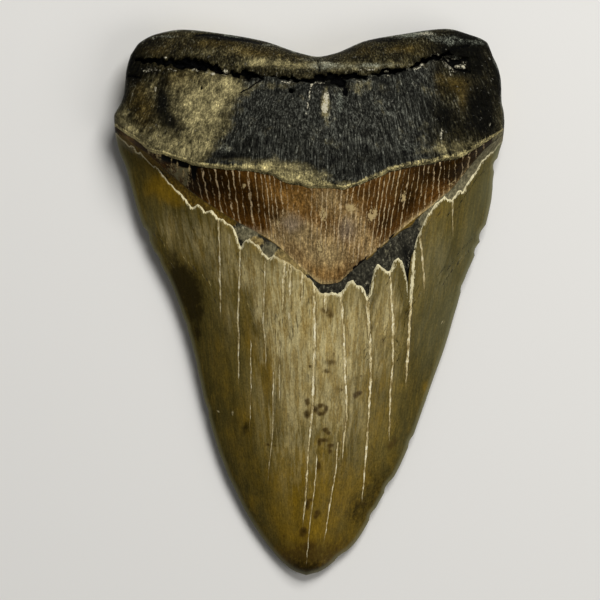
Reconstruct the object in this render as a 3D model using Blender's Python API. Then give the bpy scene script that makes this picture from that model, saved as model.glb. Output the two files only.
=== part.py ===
"""A fossil tooth of the giant shark megalodon, lying on its flat labial face.

Crown, bourlette and root grew as one piece, so the tooth is one closed solid. It is lofted from the
tip of the crown to the top of the root. Each row of the loft follows a growth line of the tooth, and
the two faces share the points of the outline.

+X is to the right, +Y runs from the tip to the root, and +Z comes out of the bulging lingual face.
The origin is in the middle of the outline's box, on the surface that the labial face rests on.
"""

import bmesh
import bpy
import numpy as np

# Every size below is in millimetres, and points are scaled to metres as they are made.
METRES = 0.001

# The outline, seen from the lingual side: (height Y, X) up each side, and (X, Y) over the two lobes.
LEFT_SIDE = (
    (-73.8, -0.9), (-72.8, -3.9), (-69.8, -7.7), (-64.7, -12.0), (-58.2, -16.3), (-51.7, -19.8),
    (-45.2, -22.8), (-38.2, -25.2), (-29.6, -27.7), (-18.2, -30.4), (-7.4, -33.1), (0.1, -35.5),
    (6.9, -38.5), (14.7, -42.5), (22.0, -45.5), (28.2, -47.4), (35.0, -49.3), (40.6, -51.4),
    (45.5, -52.5), (50.1, -52.8), (53.9, -50.9), (56.8, -50.1), (62.8, -49.5), (66.8, -48.2),
)
RIGHT_SIDE = (
    (-73.8, -0.9), (-72.8, 2.8), (-69.5, 7.4), (-64.7, 12.6), (-58.2, 16.6), (-51.7, 20.1),
    (-45.2, 23.9), (-38.7, 26.9), (-32.3, 29.6), (-22.5, 32.8), (-12.8, 36.3), (-3.1, 39.3),
    (6.6, 42.3), (14.2, 45.2), (21.2, 47.7), (28.2, 49.3), (35.2, 50.1), (40.6, 51.4),
    (44.4, 52.5), (48.7, 52.8), (54.1, 52.0), (60.1, 51.7), (63.3, 50.9), (66.8, 49.3),
)
LOBE_TOPS = (
    (-48.2, 66.8), (-45.8, 70.1), (-40.9, 72.5), (-34.4, 73.6), (-23.6, 72.5), (-12.8, 70.6),
    (-2.0, 67.1), (2.3, 66.3), (6.6, 67.1), (15.3, 70.6), (23.9, 72.2), (36.9, 73.8),
    (43.3, 72.2), (47.7, 70.3), (49.3, 66.8),
)

# The lines that cross the lingual face, (X, Y) from side to side.
ENAMEL_EDGE = (
    (-52.2, 44.1), (-47.1, 41.2), (-40.4, 35.2), (-35.0, 29.6), (-29.8, 26.1), (-24.2, 22.3),
    (-19.3, 17.4), (-15.5, 16.1), (-11.2, 11.7), (-6.6, 10.9), (-2.0, 8.2), (2.6, 3.1), (7.7, 2.3),
    (11.7, 6.1), (15.5, 1.8), (18.0, 10.4), (21.5, 8.8), (23.9, 12.0), (26.9, 0.9), (29.0, 18.0),
    (32.5, 24.7), (36.3, 28.2), (41.4, 30.1), (45.0, 35.5), (48.5, 39.8), (52.5, 44.1),
)
BOURLETTE_EDGE = (
    (-52.3, 45.8), (-43.9, 42.0), (-36.6, 34.2), (-29.0, 27.9), (-20.4, 22.3), (-9.6, 16.1),
    (-1.2, 8.5), (3.6, 5.0), (7.2, 5.3), (10.9, 8.2), (16.3, 12.6), (26.6, 21.2), (37.4, 29.8),
    (47.1, 41.2), (52.6, 45.6),
)
ROOT_EDGE = (
    (-52.6, 48.2), (-47.7, 45.5), (-40.4, 41.2), (-35.0, 38.7), (-24.2, 36.6), (-13.1, 35.5),
    (-4.2, 32.3), (2.0, 31.2), (9.3, 31.2), (16.3, 33.6), (25.5, 36.9), (38.2, 39.0), (45.2, 42.5),
    (52.7, 47.2),
)
ROOT_CRACK = (
    (-49.5, 62.0), (-46.6, 65.2), (-39.6, 64.5), (-30.6, 64.5), (-24.7, 62.2), (-17.4, 61.2),
    (-5.3, 60.3), (0.1, 59.5), (10.9, 60.1), (18.2, 61.4), (25.5, 62.8), (30.9, 64.7),
    (33.9, 65.7), (40.6, 65.5), (46.0, 64.9), (50.9, 63.5),
)

# Thickness, as (Y, size). The rim is the height of the outline above the surface it lies on.
RIM_HEIGHT = ((-73.8, 2.2), (-40.0, 3.0), (0.0, 4.0), (40.0, 5.2), (48.0, 8.6), (56.0, 9.6), (74.0, 9.0))
CROWN_CREST = (
    (-73.8, 0.0), (-71.5, 2.2), (-66.0, 4.4), (-54.0, 7.6), (-34.0, 11.4), (-14.0, 14.4),
    (3.0, 16.6), (16.0, 18.0), (31.0, 19.0), (45.0, 19.4), (74.0, 19.4),
)
CROWN_ROUNDNESS = (2.0, 1.1)
ROOT_THICKNESS = 21.0
ROOT_THINNING = 0.13  # lost for each millimetre above ROOT_MIDDLE
ROOT_SIDEWAYS_FALL = 0.0016
ROOT_MIDDLE = 41.0
BULGE_HEIGHT, BULGE_WIDTH, BULGE_LENGTH = 8.8, 24.0, 16.5
LINGUAL_ROUNDING, LABIAL_ROUNDING = 9.5, 8.0

# Low swellings of the root and crown: height and the lengths of one wave across and along.
ROOT_LUMPS = ((0.55, 27.0, 21.0), (0.3, 15.0, 13.0))
CROWN_LUMPS = ((0.25, 31.0, 47.0),)

# Ledges, grooves and hollows.
ENAMEL_STEP, ENAMEL_LIP = 0.8, 0.8
ROOT_STEP, ROOT_LIP = 1.3, 0.9
SHOULDER_SPREAD = 3.0  # how far below the bourlette the root starts to swell, at the shoulders
CRACK_DEPTH, CRACK_HALF_WIDTH = 2.0, 0.9
CRACK_ENDS = (-46.0, 39.0)
CRACK_BRIDGE, BRIDGE_HALF_WIDTH = -22.5, 2.2
LABIAL_FLAT = 0.5  # share of the half-width of the crown that is flat on its labial side
LABIAL_TIP_RISE = (-52.0, 22.0)
LABIAL_SAG = 15.0
NECK_DEPTH = 0.7
HOLLOW_DEPTH, HOLLOW_PLACE, HOLLOW_SIZE = 2.0, (0.0, 52.0), (20.0, 15.0)

# Pits in the root, (X, Y), their radius and depth, and their number of sides.
PITS = {
    "foramen": ((-4.9, 56.8), 1.5, 3.0, 12),
    "notch_pit": ((8.5, 57.6), 1.9, 2.2, 3),
    "left_pit": ((-28.9, 57.4), 0.9, 1.5, 8),
}
# Chips out of the cutting edge, (X, Y) and radius.
CHIPS = (((52.2, 37.0), 1.9), ((48.9, 18.6), 1.7), ((47.6, 14.6), 1.5), ((25.0, -45.0), 1.3), ((-45.6, 19.0), 1.3))

# The loft: columns across, and rows from each line of the lingual face to the next.
COLUMNS = 38
SIDE_CROWDING = 0.55
CROWN_ROWS, DENTINE_ROWS, BOURLETTE_ROWS, ROOT_ROWS, TOP_ROWS = 22, 2, 5, 8, 6
TIP_CROWDING = 1.4

FOSSIL_COLOUR = (0.16, 0.13, 0.07, 1.0)
FOSSIL_ROUGHNESS = 0.45


def curve_through(points):
    """A smooth function through (place, value) points, which never overshoots them."""
    place, value = np.array(points, float).T
    step = np.diff(place)
    rise = np.diff(value) / step
    before, after = rise[:-1], rise[1:]
    turns = before * after <= 0
    total = np.where(turns, 1.0, before + after)
    slope = np.concatenate([rise[:1], np.where(turns, 0.0, 2 * before * after / total), rise[-1:]])

    def read(where):
        where = np.clip(where, place[0], place[-1])
        i = np.clip(np.searchsorted(place, where, side="right") - 1, 0, len(step) - 1)
        f = (where - place[i]) / step[i]
        ends = (1 + 2 * f) * (1 - f) ** 2 * value[i] + f * f * (3 - 2 * f) * value[i + 1]
        return ends + step[i] * f * (1 - f) * ((1 - f) * slope[i] - f * slope[i + 1])

    return read


def smooth_step(low, high, x):
    f = np.clip((x - low) / (high - low), 0.0, 1.0)
    return f * f * (3 - 2 * f)


left_side, right_side = curve_through(LEFT_SIDE), curve_through(RIGHT_SIDE)
lobe_tops = curve_through(LOBE_TOPS)
bourlette_edge, root_edge = curve_through(BOURLETTE_EDGE), curve_through(ROOT_EDGE)
rim_height, crown_crest = curve_through(RIM_HEIGHT), curve_through(CROWN_CREST)


def outline_points(count=240):
    """Points along the whole outline, tip to tip."""
    y = np.linspace(LEFT_SIDE[0][0], LEFT_SIDE[-1][0], count)
    x = np.linspace(LOBE_TOPS[0][0], LOBE_TOPS[-1][0], count)
    sides = [np.column_stack([left_side(y), y]), np.column_stack([right_side(y), y])]
    return np.concatenate(sides + [np.column_stack([x, lobe_tops(x)])])


def outline_distance(x, y):
    outline = outline_points()
    gaps = np.hypot(x[..., None] - outline[:, 0], y[..., None] - outline[:, 1])
    return gaps.min(axis=-1)


def rounding(distance, radius):
    """A quarter ellipse: 0 on the outline and 1 from this radius inwards."""
    f = np.clip(distance / radius, 0.0, 1.0)
    return np.sqrt(1 - (1 - f) ** 2)


def across(x, y):
    """Where a point of the crown lies across its width, from -1 to 1."""
    y = np.minimum(y, LEFT_SIDE[-1][0])
    left, right = left_side(y), right_side(y)
    half = np.maximum((right - left) / 2, 1e-6)
    return np.clip((x - (left + right) / 2) / half, -1.0, 1.0)


def swelling(x, y, lumps):
    return sum(
        height * np.sin(2 * np.pi * x / wide + n) * np.cos(2 * np.pi * y / long + 2 * n)
        for n, (height, wide, long) in enumerate(lumps, 1)
    )


class Line:
    """A line across the lingual face, read by the share of the way from its left end to its right."""

    def __init__(self, points, shift=0.0):
        self.height = curve_through(points)
        self.left, self.right = points[0][0], points[-1][0]
        self.shift = shift

    def y(self, share):
        return self.height(self.left + (self.right - self.left) * share) + self.shift


LINES = (
    (Line(ENAMEL_EDGE, -ENAMEL_LIP), CROWN_ROWS),
    (Line(ENAMEL_EDGE), 1),
    (Line(BOURLETTE_EDGE), DENTINE_ROWS),
    (Line(ROOT_EDGE, -ROOT_LIP), BOURLETTE_ROWS),
    (Line(ROOT_EDGE), 1),
    (Line(ROOT_CRACK, -CRACK_HALF_WIDTH), ROOT_ROWS),
    (Line(ROOT_CRACK), 1),
    (Line(ROOT_CRACK, CRACK_HALF_WIDTH), 1),
    (Line(LOBE_TOPS), TOP_ROWS),
)
ENAMEL_TOP, ENAMEL_BOTTOM, BOURLETTE_LOW, ROOT_FOOT, ROOT_BROW, CRACK_ROW, TOP = 1, 2, 3, 4, 5, 7, 9


def rows_of_loft():
    """(level, y of each column) for every row above the tip. Level n is on the nth line."""
    evenly = np.linspace(0, 1, COLUMNS + 1)
    share = SIDE_CROWDING * (0.5 - 0.5 * np.cos(np.pi * evenly)) + (1 - SIDE_CROWDING) * evenly
    below = np.full(COLUMNS + 1, LEFT_SIDE[0][0])
    rows = []
    for number, (line, count) in enumerate(LINES):
        above = line.y(share)
        for i in range(1, count + 1):
            f = i / count
            if number == 0:
                f = f**TIP_CROWDING
            if number == TOP - 1:
                f = 1 - (1 - f) ** 1.6
            rows.append((number + f, (1 - f) * below + f * above))
        below = above
    return share, rows


def row_ends(level, y):
    if level >= TOP:
        return LOBE_TOPS[0][0], LOBE_TOPS[-1][0]
    return left_side(y[0]), right_side(y[-1])


def lingual_height(x, y, level):
    rim = rim_height(y)
    power, fullness = CROWN_ROUNDNESS
    dome = (1 - np.abs(across(x, y)) ** power) ** fullness
    crown = rim + (crown_crest(y) + swelling(x, y, CROWN_LUMPS)) * dome
    crown += ENAMEL_STEP * dome**0.3 * (level < ENAMEL_BOTTOM - 1e-6)
    bulge = BULGE_HEIGHT * np.exp(-((x / BULGE_WIDTH) ** 2) - ((y - ROOT_MIDDLE) / BULGE_LENGTH) ** 2)
    body = ROOT_THICKNESS - ROOT_THINNING * (y - ROOT_MIDDLE) - ROOT_SIDEWAYS_FALL * x * x
    body = body + bulge + swelling(x, y, ROOT_LUMPS)
    edge = rounding(outline_distance(x, y), LINGUAL_ROUNDING)
    root = rim + (body - rim) * edge
    low, high = bourlette_edge(x) - SHOULDER_SPREAD * (x / RIGHT_SIDE[-1][1]) ** 2, root_edge(x)
    height = crown + (root - crown) * smooth_step(low, high, y)
    under_root = smooth_step(low, high - ROOT_LIP, y) * (level < ROOT_BROW - 1e-6)
    height -= ROOT_STEP * edge * under_root
    crack = CRACK_DEPTH * smooth_step(CRACK_ENDS[0] - 2, CRACK_ENDS[0] + 2, x)
    crack = crack * (1 - smooth_step(CRACK_ENDS[1] - 3, CRACK_ENDS[1] + 3, x))
    crack = crack * smooth_step(BRIDGE_HALF_WIDTH / 2, BRIDGE_HALF_WIDTH, np.abs(x - CRACK_BRIDGE))
    return height - crack * (abs(level - CRACK_ROW) < 1e-6)


def labial_rows(level, y, share):
    """The labial face has its own, flatter growth lines between the same ends."""
    if level >= ROOT_BROW:
        return y
    ends = y[0] + (y[-1] - y[0]) * share
    brow = LINES[ROOT_BROW - 1][0].y(share)
    shape = (brow[0] + (brow[-1] - brow[0]) * share - brow) / (brow[0] - brow.min())
    grown = (y[0] - LEFT_SIDE[0][0]) / (brow[0] - LEFT_SIDE[0][0])
    sag = LABIAL_SAG + (brow[0] - brow.min() - LABIAL_SAG) * smooth_step(ENAMEL_TOP, ROOT_BROW, level)
    return ends - sag * grown * shape


def labial_height(x, y, level):
    rim = rim_height(y)
    sideways = np.clip((np.abs(across(x, y)) - LABIAL_FLAT) / (1 - LABIAL_FLAT), 0, 1) ** 1.8
    start, length = LABIAL_TIP_RISE
    tipwards = np.clip((start - y) / length, 0, 1) ** 2
    crown = rim * np.maximum(sideways, tipwards)
    root = rim * (1 - rounding(outline_distance(x, y), LABIAL_ROUNDING))
    far = ((x - HOLLOW_PLACE[0]) / HOLLOW_SIZE[0]) ** 2 + ((y - HOLLOW_PLACE[1]) / HOLLOW_SIZE[1]) ** 2
    root = root + HOLLOW_DEPTH * np.maximum(0, 1 - far) ** 2
    weight = smooth_step(ENAMEL_BOTTOM, ROOT_BROW, level)
    neck = NECK_DEPTH * np.maximum(0, 1 - ((level - 3.0) / 1.6) ** 2) * (1 - sideways)
    return crown + (root - crown) * weight + neck


def add_material(tooth):
    material = bpy.data.materials.new("fossil tooth")
    material.use_nodes = True
    shader = material.node_tree.nodes["Principled BSDF"]
    shader.inputs["Base Color"].default_value = FOSSIL_COLOUR
    shader.inputs["Roughness"].default_value = FOSSIL_ROUGHNESS
    shader.inputs["Metallic"].default_value = 0.0
    tooth.data.materials.append(material)


def add_tooth(collection):
    """Lofts both faces row by row. They share the points of the outline and of the tip."""
    share, rows = rows_of_loft()
    bm = bmesh.new()
    tip = bm.verts.new((LEFT_SIDE[0][1] * METRES, LEFT_SIDE[0][0] * METRES, float(rim_height(-73.8)) * METRES))
    lingual, labial = [], []
    for level, y in rows:
        left, right = row_ends(level, y)
        x = left + (right - left) * share
        low_y = labial_rows(level, y, share)
        high, low = lingual_height(x, y, level), labial_height(x, low_y, level)
        high[[0, -1]] = rim_height(y[[0, -1]])
        if level >= TOP:
            high = rim_height(y)
        upper = [bm.verts.new(np.array(p) * METRES) for p in zip(x, y, high)]
        lower = list(upper)
        if level < TOP:
            inner = zip(x[1:-1], low_y[1:-1], low[1:-1])
            lower[1:-1] = [bm.verts.new(np.array(p) * METRES) for p in inner]
        lingual.append(upper)
        labial.append(lower)
    for i in range(COLUMNS):
        bm.faces.new((tip, lingual[0][i + 1], lingual[0][i]))
        bm.faces.new((tip, labial[0][i], labial[0][i + 1]))
        for below, above in zip(lingual, lingual[1:]):
            bm.faces.new((below[i], below[i + 1], above[i + 1], above[i]))
        for below, above in zip(labial, labial[1:]):
            corners = (below[i], above[i], above[i + 1], below[i + 1])
            bm.faces.new(corners)
    bmesh.ops.recalc_face_normals(bm, faces=bm.faces)
    mesh = bpy.data.meshes.new("tooth")
    bm.to_mesh(mesh)
    bm.free()
    mesh.shade_smooth()
    tooth = bpy.data.objects.new("tooth", mesh)
    collection.objects.link(tooth)
    add_material(tooth)
    return tooth


def height_at(x, y, level):
    return float(lingual_height(np.array([x]), np.array([y]), level)[0])


def add_cutter(collection, name, bm, place):
    mesh = bpy.data.meshes.new(name)
    bm.to_mesh(mesh)
    bm.free()
    cutter = bpy.data.objects.new(name, mesh)
    cutter.location = np.array(place) * METRES
    cutter.hide_render = True
    cutter.display_type = "WIRE"
    collection.objects.link(cutter)
    return cutter


def pit_cutter(collection, name, place, radius, depth, sides):
    """A cone that narrows into the root, and reaches as far above its surface as below."""
    bm = bmesh.new()
    bmesh.ops.create_cone(
        bm, cap_ends=True, segments=sides, radius1=0.25 * radius * METRES,
        radius2=1.75 * radius * METRES, depth=2 * depth * METRES,
    )
    x, y = place
    return add_cutter(collection, name, bm, (x, y, height_at(x, y, ROOT_BROW + 1)))


def chip_cutter(collection, name, place, radius):
    bm = bmesh.new()
    bmesh.ops.create_icosphere(bm, subdivisions=2, radius=radius * METRES)
    x, y = place
    return add_cutter(collection, name, bm, (x, y, float(rim_height(y)) + 0.4 * radius))


def main():
    for old in list(bpy.data.objects):
        bpy.data.objects.remove(old, do_unlink=True)
    parts = bpy.data.collections.new("megalodon tooth")
    cutters = bpy.data.collections.new("cutters")
    bpy.context.scene.collection.children.link(parts)
    bpy.context.scene.collection.children.link(cutters)
    tooth = add_tooth(parts)
    made = [pit_cutter(cutters, name, *sizes) for name, sizes in PITS.items()]
    made += [chip_cutter(cutters, f"chip_{i}", *chip) for i, chip in enumerate(CHIPS, 1)]
    for cutter in made:
        cut = tooth.modifiers.new(cutter.name, "BOOLEAN")
        cut.operation = "DIFFERENCE"
        cut.object = cutter


main()
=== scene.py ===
"""A fossil megalodon tooth, lying on its flat labial face with the bulging lingual face up.

The whole tooth is one piece, so one mesh stands for it. The sections go through it in the order in
which it grew and aged: body, enamel, bared dentine, bourlette, root, labial face. Lengths of the
form are in millimetres, and points are scaled to metres as the mesh is made.
"""

import bpy
import numpy as np
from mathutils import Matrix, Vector


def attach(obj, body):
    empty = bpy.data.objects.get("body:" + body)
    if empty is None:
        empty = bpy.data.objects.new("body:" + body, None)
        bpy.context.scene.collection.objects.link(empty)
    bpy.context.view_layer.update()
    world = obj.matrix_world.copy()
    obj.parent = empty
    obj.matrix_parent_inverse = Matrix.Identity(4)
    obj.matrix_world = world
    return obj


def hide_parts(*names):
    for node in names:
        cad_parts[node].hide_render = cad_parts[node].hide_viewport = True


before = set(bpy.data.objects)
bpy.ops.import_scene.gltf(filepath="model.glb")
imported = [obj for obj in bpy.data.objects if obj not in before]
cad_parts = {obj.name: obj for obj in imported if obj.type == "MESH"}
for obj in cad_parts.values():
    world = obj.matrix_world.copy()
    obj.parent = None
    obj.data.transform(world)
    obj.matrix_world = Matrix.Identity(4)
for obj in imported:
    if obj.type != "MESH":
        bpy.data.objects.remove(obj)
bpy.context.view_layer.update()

# ---------------------------------------------------------------------------------------------
# The body of the tooth. Crown and root grew as one block of dentine, since turned to stone. It is
# lofted in rows that follow its growth lines, from the tip of the crown to the lobes of the root,
# and the lingual and labial faces share the points of the outline.
# ---------------------------------------------------------------------------------------------

METRES = 0.001

# The outline from the lingual side: (height Y, X) up each side, then (X, Y) over the two lobes.
LEFT_SIDE = (
    (-73.8, -0.9), (-72.8, -3.9), (-69.8, -7.7), (-64.7, -12.0), (-58.2, -16.3), (-51.7, -19.8),
    (-45.2, -22.8), (-38.2, -25.2), (-29.6, -27.7), (-18.2, -30.4), (-7.4, -33.1), (0.1, -35.5),
    (6.9, -38.5), (14.7, -42.5), (22.0, -45.5), (28.2, -47.4), (35.0, -49.3), (40.6, -51.4), (45.5, -52.5),
    (50.1, -52.8), (53.9, -50.9), (56.8, -50.1), (62.8, -49.5), (66.8, -48.2),
)
RIGHT_SIDE = (
    (-73.8, -0.9), (-72.8, 2.8), (-69.5, 7.4), (-64.7, 12.6), (-58.2, 16.6), (-51.7, 20.1), (-45.2, 23.9),
    (-38.7, 26.9), (-32.3, 29.6), (-22.5, 32.8), (-12.8, 36.3), (-3.1, 39.3), (6.6, 42.3), (14.2, 45.2),
    (21.2, 47.7), (28.2, 49.3), (35.2, 50.1), (40.6, 51.4), (44.4, 52.5), (48.7, 52.8), (54.1, 52.0),
    (60.1, 51.7), (63.3, 50.9), (66.8, 49.3),
)
LOBE_TOPS = (
    (-48.2, 66.8), (-45.8, 70.1), (-40.9, 72.5), (-34.4, 73.6), (-23.6, 72.5), (-12.8, 70.6), (-2.0, 67.1),
    (2.3, 66.3), (6.6, 67.1), (15.3, 70.6), (23.9, 72.2), (36.9, 73.8), (43.3, 72.2), (47.7, 70.3),
    (49.3, 66.8),
)
TIP_Y = LEFT_SIDE[0][0]

# Lines across the lingual face, (X, Y) from side to side.
BOURLETTE_EDGE = (
    (-52.3, 46.4), (-49.8, 44.6), (-46.0, 41.7), (-43.9, 40.4), (-40.5, 37.4), (-36.6, 33.9), (-29.0, 27.9),
    (-20.4, 22.3), (-9.6, 16.1), (-1.2, 8.5), (3.6, 5.0), (7.2, 5.3), (10.9, 8.2), (16.3, 12.6),
    (26.6, 21.2), (37.4, 29.8), (47.1, 41.2), (52.6, 45.6),
)
ROOT_EDGE = (
    (-52.6, 48.2), (-48.3, 45.6), (-45.4, 43.4), (-42.7, 41.2), (-39.4, 40.5), (-35.9, 39.4), (-31.6, 37.8),
    (-24.2, 36.6), (-13.1, 35.5), (-4.2, 32.3), (2.0, 31.2), (9.3, 31.2), (16.3, 33.6), (25.5, 36.9),
    (38.2, 39.0), (45.2, 42.5), (52.7, 47.2),
)
ROOT_CRACK = (
    (-49.5, 62.0), (-46.6, 65.2), (-39.6, 64.5), (-30.6, 64.5), (-24.7, 62.2), (-17.4, 61.2), (-5.3, 60.3),
    (0.1, 59.5), (10.9, 60.1), (18.2, 61.4), (25.5, 62.8), (30.9, 64.7), (33.9, 65.7), (40.6, 65.5),
    (46.0, 64.9), (50.9, 63.5),
)
# The general run of the crown's base, and the broken edge of the enamel that follows it.
CROWN_BASE = (
    (-52.2, 44.1), (-40.4, 35.2), (-27.9, 24.4), (-18.5, 17.4), (-6.6, 10.4), (3.9, 3.4), (9.6, 3.6),
    (17.7, 7.4), (23.9, 12.0), (28.8, 17.4), (33.1, 24.4), (39.6, 29.8), (45.0, 35.5), (48.5, 39.8),
    (52.5, 44.1),
)
ENAMEL_EDGE = (
    (-52.2, 45.8), (-50.9, 44.4), (-49.3, 43.1), (-47.4, 41.7), (-45.8, 40.4), (-43.9, 38.5), (-41.7, 36.9),
    (-40.4, 35.2), (-38.5, 33.1), (-37.1, 31.7), (-36.0, 29.8), (-35.0, 29.6), (-33.1, 27.7), (-31.5, 25.8),
    (-29.8, 26.1), (-29.0, 26.1), (-27.9, 24.2), (-26.9, 24.7), (-25.8, 24.4), (-24.4, 22.3), (-23.1, 22.3),
    (-22.0, 20.7), (-20.7, 20.7), (-19.8, 19.0), (-19.2, 16.6), (-18.5, 14.4), (-18.0, 16.1), (-17.1, 16.9),
    (-16.1, 16.9), (-15.3, 15.8), (-13.6, 15.5), (-12.6, 13.4), (-10.9, 11.7), (-9.6, 12.8), (-6.6, 10.9),
    (-4.2, 9.6), (-2.0, 8.2), (0.4, 6.3), (1.2, 4.5), (2.6, 3.1), (3.9, 2.3), (5.3, 2.8), (6.6, 2.6),
    (7.7, 2.3), (9.0, 3.1), (10.4, 5.3), (11.5, 6.1), (12.6, 4.5), (13.9, 4.2), (15.0, 3.1), (15.5, 1.2),
    (16.3, 3.6), (16.9, 5.0), (17.1, 8.5), (18.2, 10.4), (19.6, 9.3), (20.7, 8.2), (21.5, 8.8),
    (22.5, 10.7), (23.9, 12.0), (25.0, 10.7), (25.8, 7.7), (26.6, 4.2), (27.1, 0.4), (27.7, 4.5),
    (27.9, 9.6), (28.2, 15.0), (28.8, 17.4), (29.6, 18.8), (30.6, 21.2), (32.0, 24.2), (33.9, 26.3),
    (36.3, 28.2), (38.2, 27.9), (39.6, 29.8), (41.4, 30.1), (42.5, 32.3), (45.0, 35.5), (46.6, 38.2),
    (48.5, 39.8), (52.5, 44.1),
)

# Thickness, as (Y, size). The rim is the height of the outline above the surface it lies on.
RIM_HEIGHT = ((-73.8, 2.2), (-40.0, 3.0), (0.0, 4.0), (40.0, 5.2), (48.0, 8.6), (56.0, 9.6), (74.0, 9.0))
CROWN_CREST = (
    (-73.8, 0.0), (-71.5, 2.2), (-66.0, 4.4), (-54.0, 7.6), (-34.0, 11.4), (-14.0, 14.4), (3.0, 16.6),
    (16.0, 18.0), (31.0, 19.0), (45.0, 19.4), (74.0, 19.4),
)
CROWN_ROUNDNESS = (2.0, 1.1)
ROOT_THICKNESS = 21.0
ROOT_THINNING = 0.13  # lost for each millimetre above ROOT_MIDDLE
ROOT_SIDEWAYS_FALL = 0.0016
ROOT_MIDDLE = 41.0
BULGE_HEIGHT, BULGE_WIDTH, BULGE_LENGTH = 8.8, 24.0, 16.5
LINGUAL_ROUNDING, LABIAL_ROUNDING = 9.5, 8.0
ROOT_LUMPS = ((0.55, 27.0, 21.0), (0.3, 15.0, 13.0))
CROWN_LUMPS = ((0.25, 31.0, 47.0),)
ENAMEL_STEP = 0.8
ROOT_STEP, ROOT_LIP = 1.3, 0.9
SHOULDER_SPREAD = 3.0

# The loft: columns across, and rows from each line to the next.
COLUMNS = 258
SIDE_CROWDING, TIP_CROWDING, TOP_CROWDING = 0.3, 1.25, 1.7
ROW_GAP = 0.02  # the least height of a row
SETTLING = 8  # rounds in which the ends of a line find the outline
CRACK_MARGIN = 1.5


def curve_through(points):
    """A smooth function through (place, value) points, which never overshoots them."""
    place, value = np.array(points, float).T
    step = np.diff(place)
    rise = np.diff(value) / step
    before, after = rise[:-1], rise[1:]
    turns = before * after <= 0
    total = np.where(turns, 1.0, before + after)
    slope = np.concatenate([rise[:1], np.where(turns, 0.0, 2 * before * after / total), rise[-1:]])

    def read(where):
        where = np.clip(where, place[0], place[-1])
        i = np.clip(np.searchsorted(place, where, side="right") - 1, 0, len(step) - 1)
        f = (where - place[i]) / step[i]
        ends = (1 + 2 * f) * (1 - f) ** 2 * value[i] + f * f * (3 - 2 * f) * value[i + 1]
        return ends + step[i] * f * (1 - f) * ((1 - f) * slope[i] - f * slope[i + 1])

    return read


def read_straight(points, where):
    """Reads (place, value) points with straight stretches between them."""
    return np.interp(where, *np.array(points).T)


def smooth_step(low, high, x):
    f = np.clip((x - low) / (high - low), 0.0, 1.0)
    return f * f * (3 - 2 * f)


LATTICE = 64
LATTICE_SHIFT = (7.3, 3.1)


def grain(x, y, wide, long, seed):
    """Soft noise from 0 to 1, in cells this wide and long."""
    lattice = np.random.default_rng(seed).random((LATTICE, LATTICE))
    u, v = np.asarray(x) / wide + LATTICE_SHIFT[0], np.asarray(y) / long + LATTICE_SHIFT[1]
    i, j = np.floor(u).astype(int), np.floor(v).astype(int)
    f, g = smooth_step(0, 1, u - i), smooth_step(0, 1, v - j)
    i, j, next_i, next_j = i % LATTICE, j % LATTICE, (i + 1) % LATTICE, (j + 1) % LATTICE
    low = lattice[i, j] * (1 - f) + lattice[next_i, j] * f
    high = lattice[i, next_j] * (1 - f) + lattice[next_i, next_j] * f
    return low * (1 - g) + high * g


def rough(x, y, wide, long, seed, halvings=4):
    """Noise from 0 to 1 with finer and finer grain in it."""
    total, weight = 0.0, 0.0
    for n in range(halvings):
        total = total + grain(x, y, wide / 2**n, long / 2**n, seed + n) / 2**n
        weight += 1 / 2**n
    return total / weight


# Chips out of the cutting edges: side, Y, half their length and depth.
CHIPS = (
    ("right", 37.4, 1.7, 0.75), ("right", 18.6, 1.9, 0.8), ("right", 14.4, 1.6, 0.55),
    ("right", 4.3, 1.3, 0.35), ("right", -37.5, 1.5, 0.35), ("right", -49.5, 1.8, 0.6),
    ("right", -57.2, 1.4, 0.5), ("right", -68.6, 1.2, 0.5), ("left", 18.8, 1.6, 0.6),
    ("left", 12.3, 1.4, 0.35), ("left", -6.0, 1.3, 0.25), ("left", -29.0, 1.5, 0.3),
)
EDGE_WEAR, WEAR_LENGTH, WEAR_STRETCH = 0.35, 3.5, 9.0
WEAR_SEEDS = {"left": 11, "right": 12}
INWARD = {"left": 1, "right": -1}
SHARP_TIP = 4.0  # no wear starts nearer to the tip
side_curves = {"left": curve_through(LEFT_SIDE), "right": curve_through(RIGHT_SIDE)}


def side(name, y):
    """The outline of one side, with its chips and wear, always inside the whole outline."""
    seed = WEAR_SEEDS[name]
    worn = EDGE_WEAR * rough(y, 0 * y, WEAR_LENGTH, 1.0, seed, 3) * smooth_step(TIP_Y, TIP_Y + SHARP_TIP, y)
    worn = worn * smooth_step(0.2, 0.8, grain(y, 0 * y, WEAR_STRETCH, 1.0, seed + 5))
    for chipped, middle, half, depth in CHIPS:
        if chipped == name:
            worn = worn + depth * np.clip(1 - ((y - middle) / half) ** 2, 0, 1) ** 0.7
    return side_curves[name](y) + INWARD[name] * worn


lobe_tops = curve_through(LOBE_TOPS)
rim_height, crown_crest = curve_through(RIM_HEIGHT), curve_through(CROWN_CREST)
bourlette_edge, root_line = curve_through(BOURLETTE_EDGE), curve_through(ROOT_EDGE)
crown_base, root_crack = curve_through(CROWN_BASE), curve_through(ROOT_CRACK)


SHOULDER = 52.5  # X at which both edges are whole again
ROOT_FRAY, FRAY_LENGTH, FRAY_RUNS_OUT = 0.8, 2.4, 49.0
# Splinters: height, width and seed.
SPLINTERS, SPLINTERS_RUN_OUT = ((0.8, 1.1, 21), (0.6, 0.5, 22)), 50.0


def root_edge(x):
    """The lower lip of the root, slightly frayed."""
    frayed = ROOT_FRAY * (rough(x, 0 * x, FRAY_LENGTH, 1.0, 25, 3) - 0.5)
    return root_line(x) + frayed * smooth_step(SHOULDER, FRAY_RUNS_OUT, np.abs(x))


def enamel_edge(x):
    """The broken edge of the enamel, with its splinters."""
    splinters = sum(size * (grain(x, 0 * x, wide, 1.0, seed) - 0.5) for size, wide, seed in SPLINTERS)
    return read_straight(ENAMEL_EDGE, x) + splinters * smooth_step(SHOULDER, SPLINTERS_RUN_OUT, np.abs(x))


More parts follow.
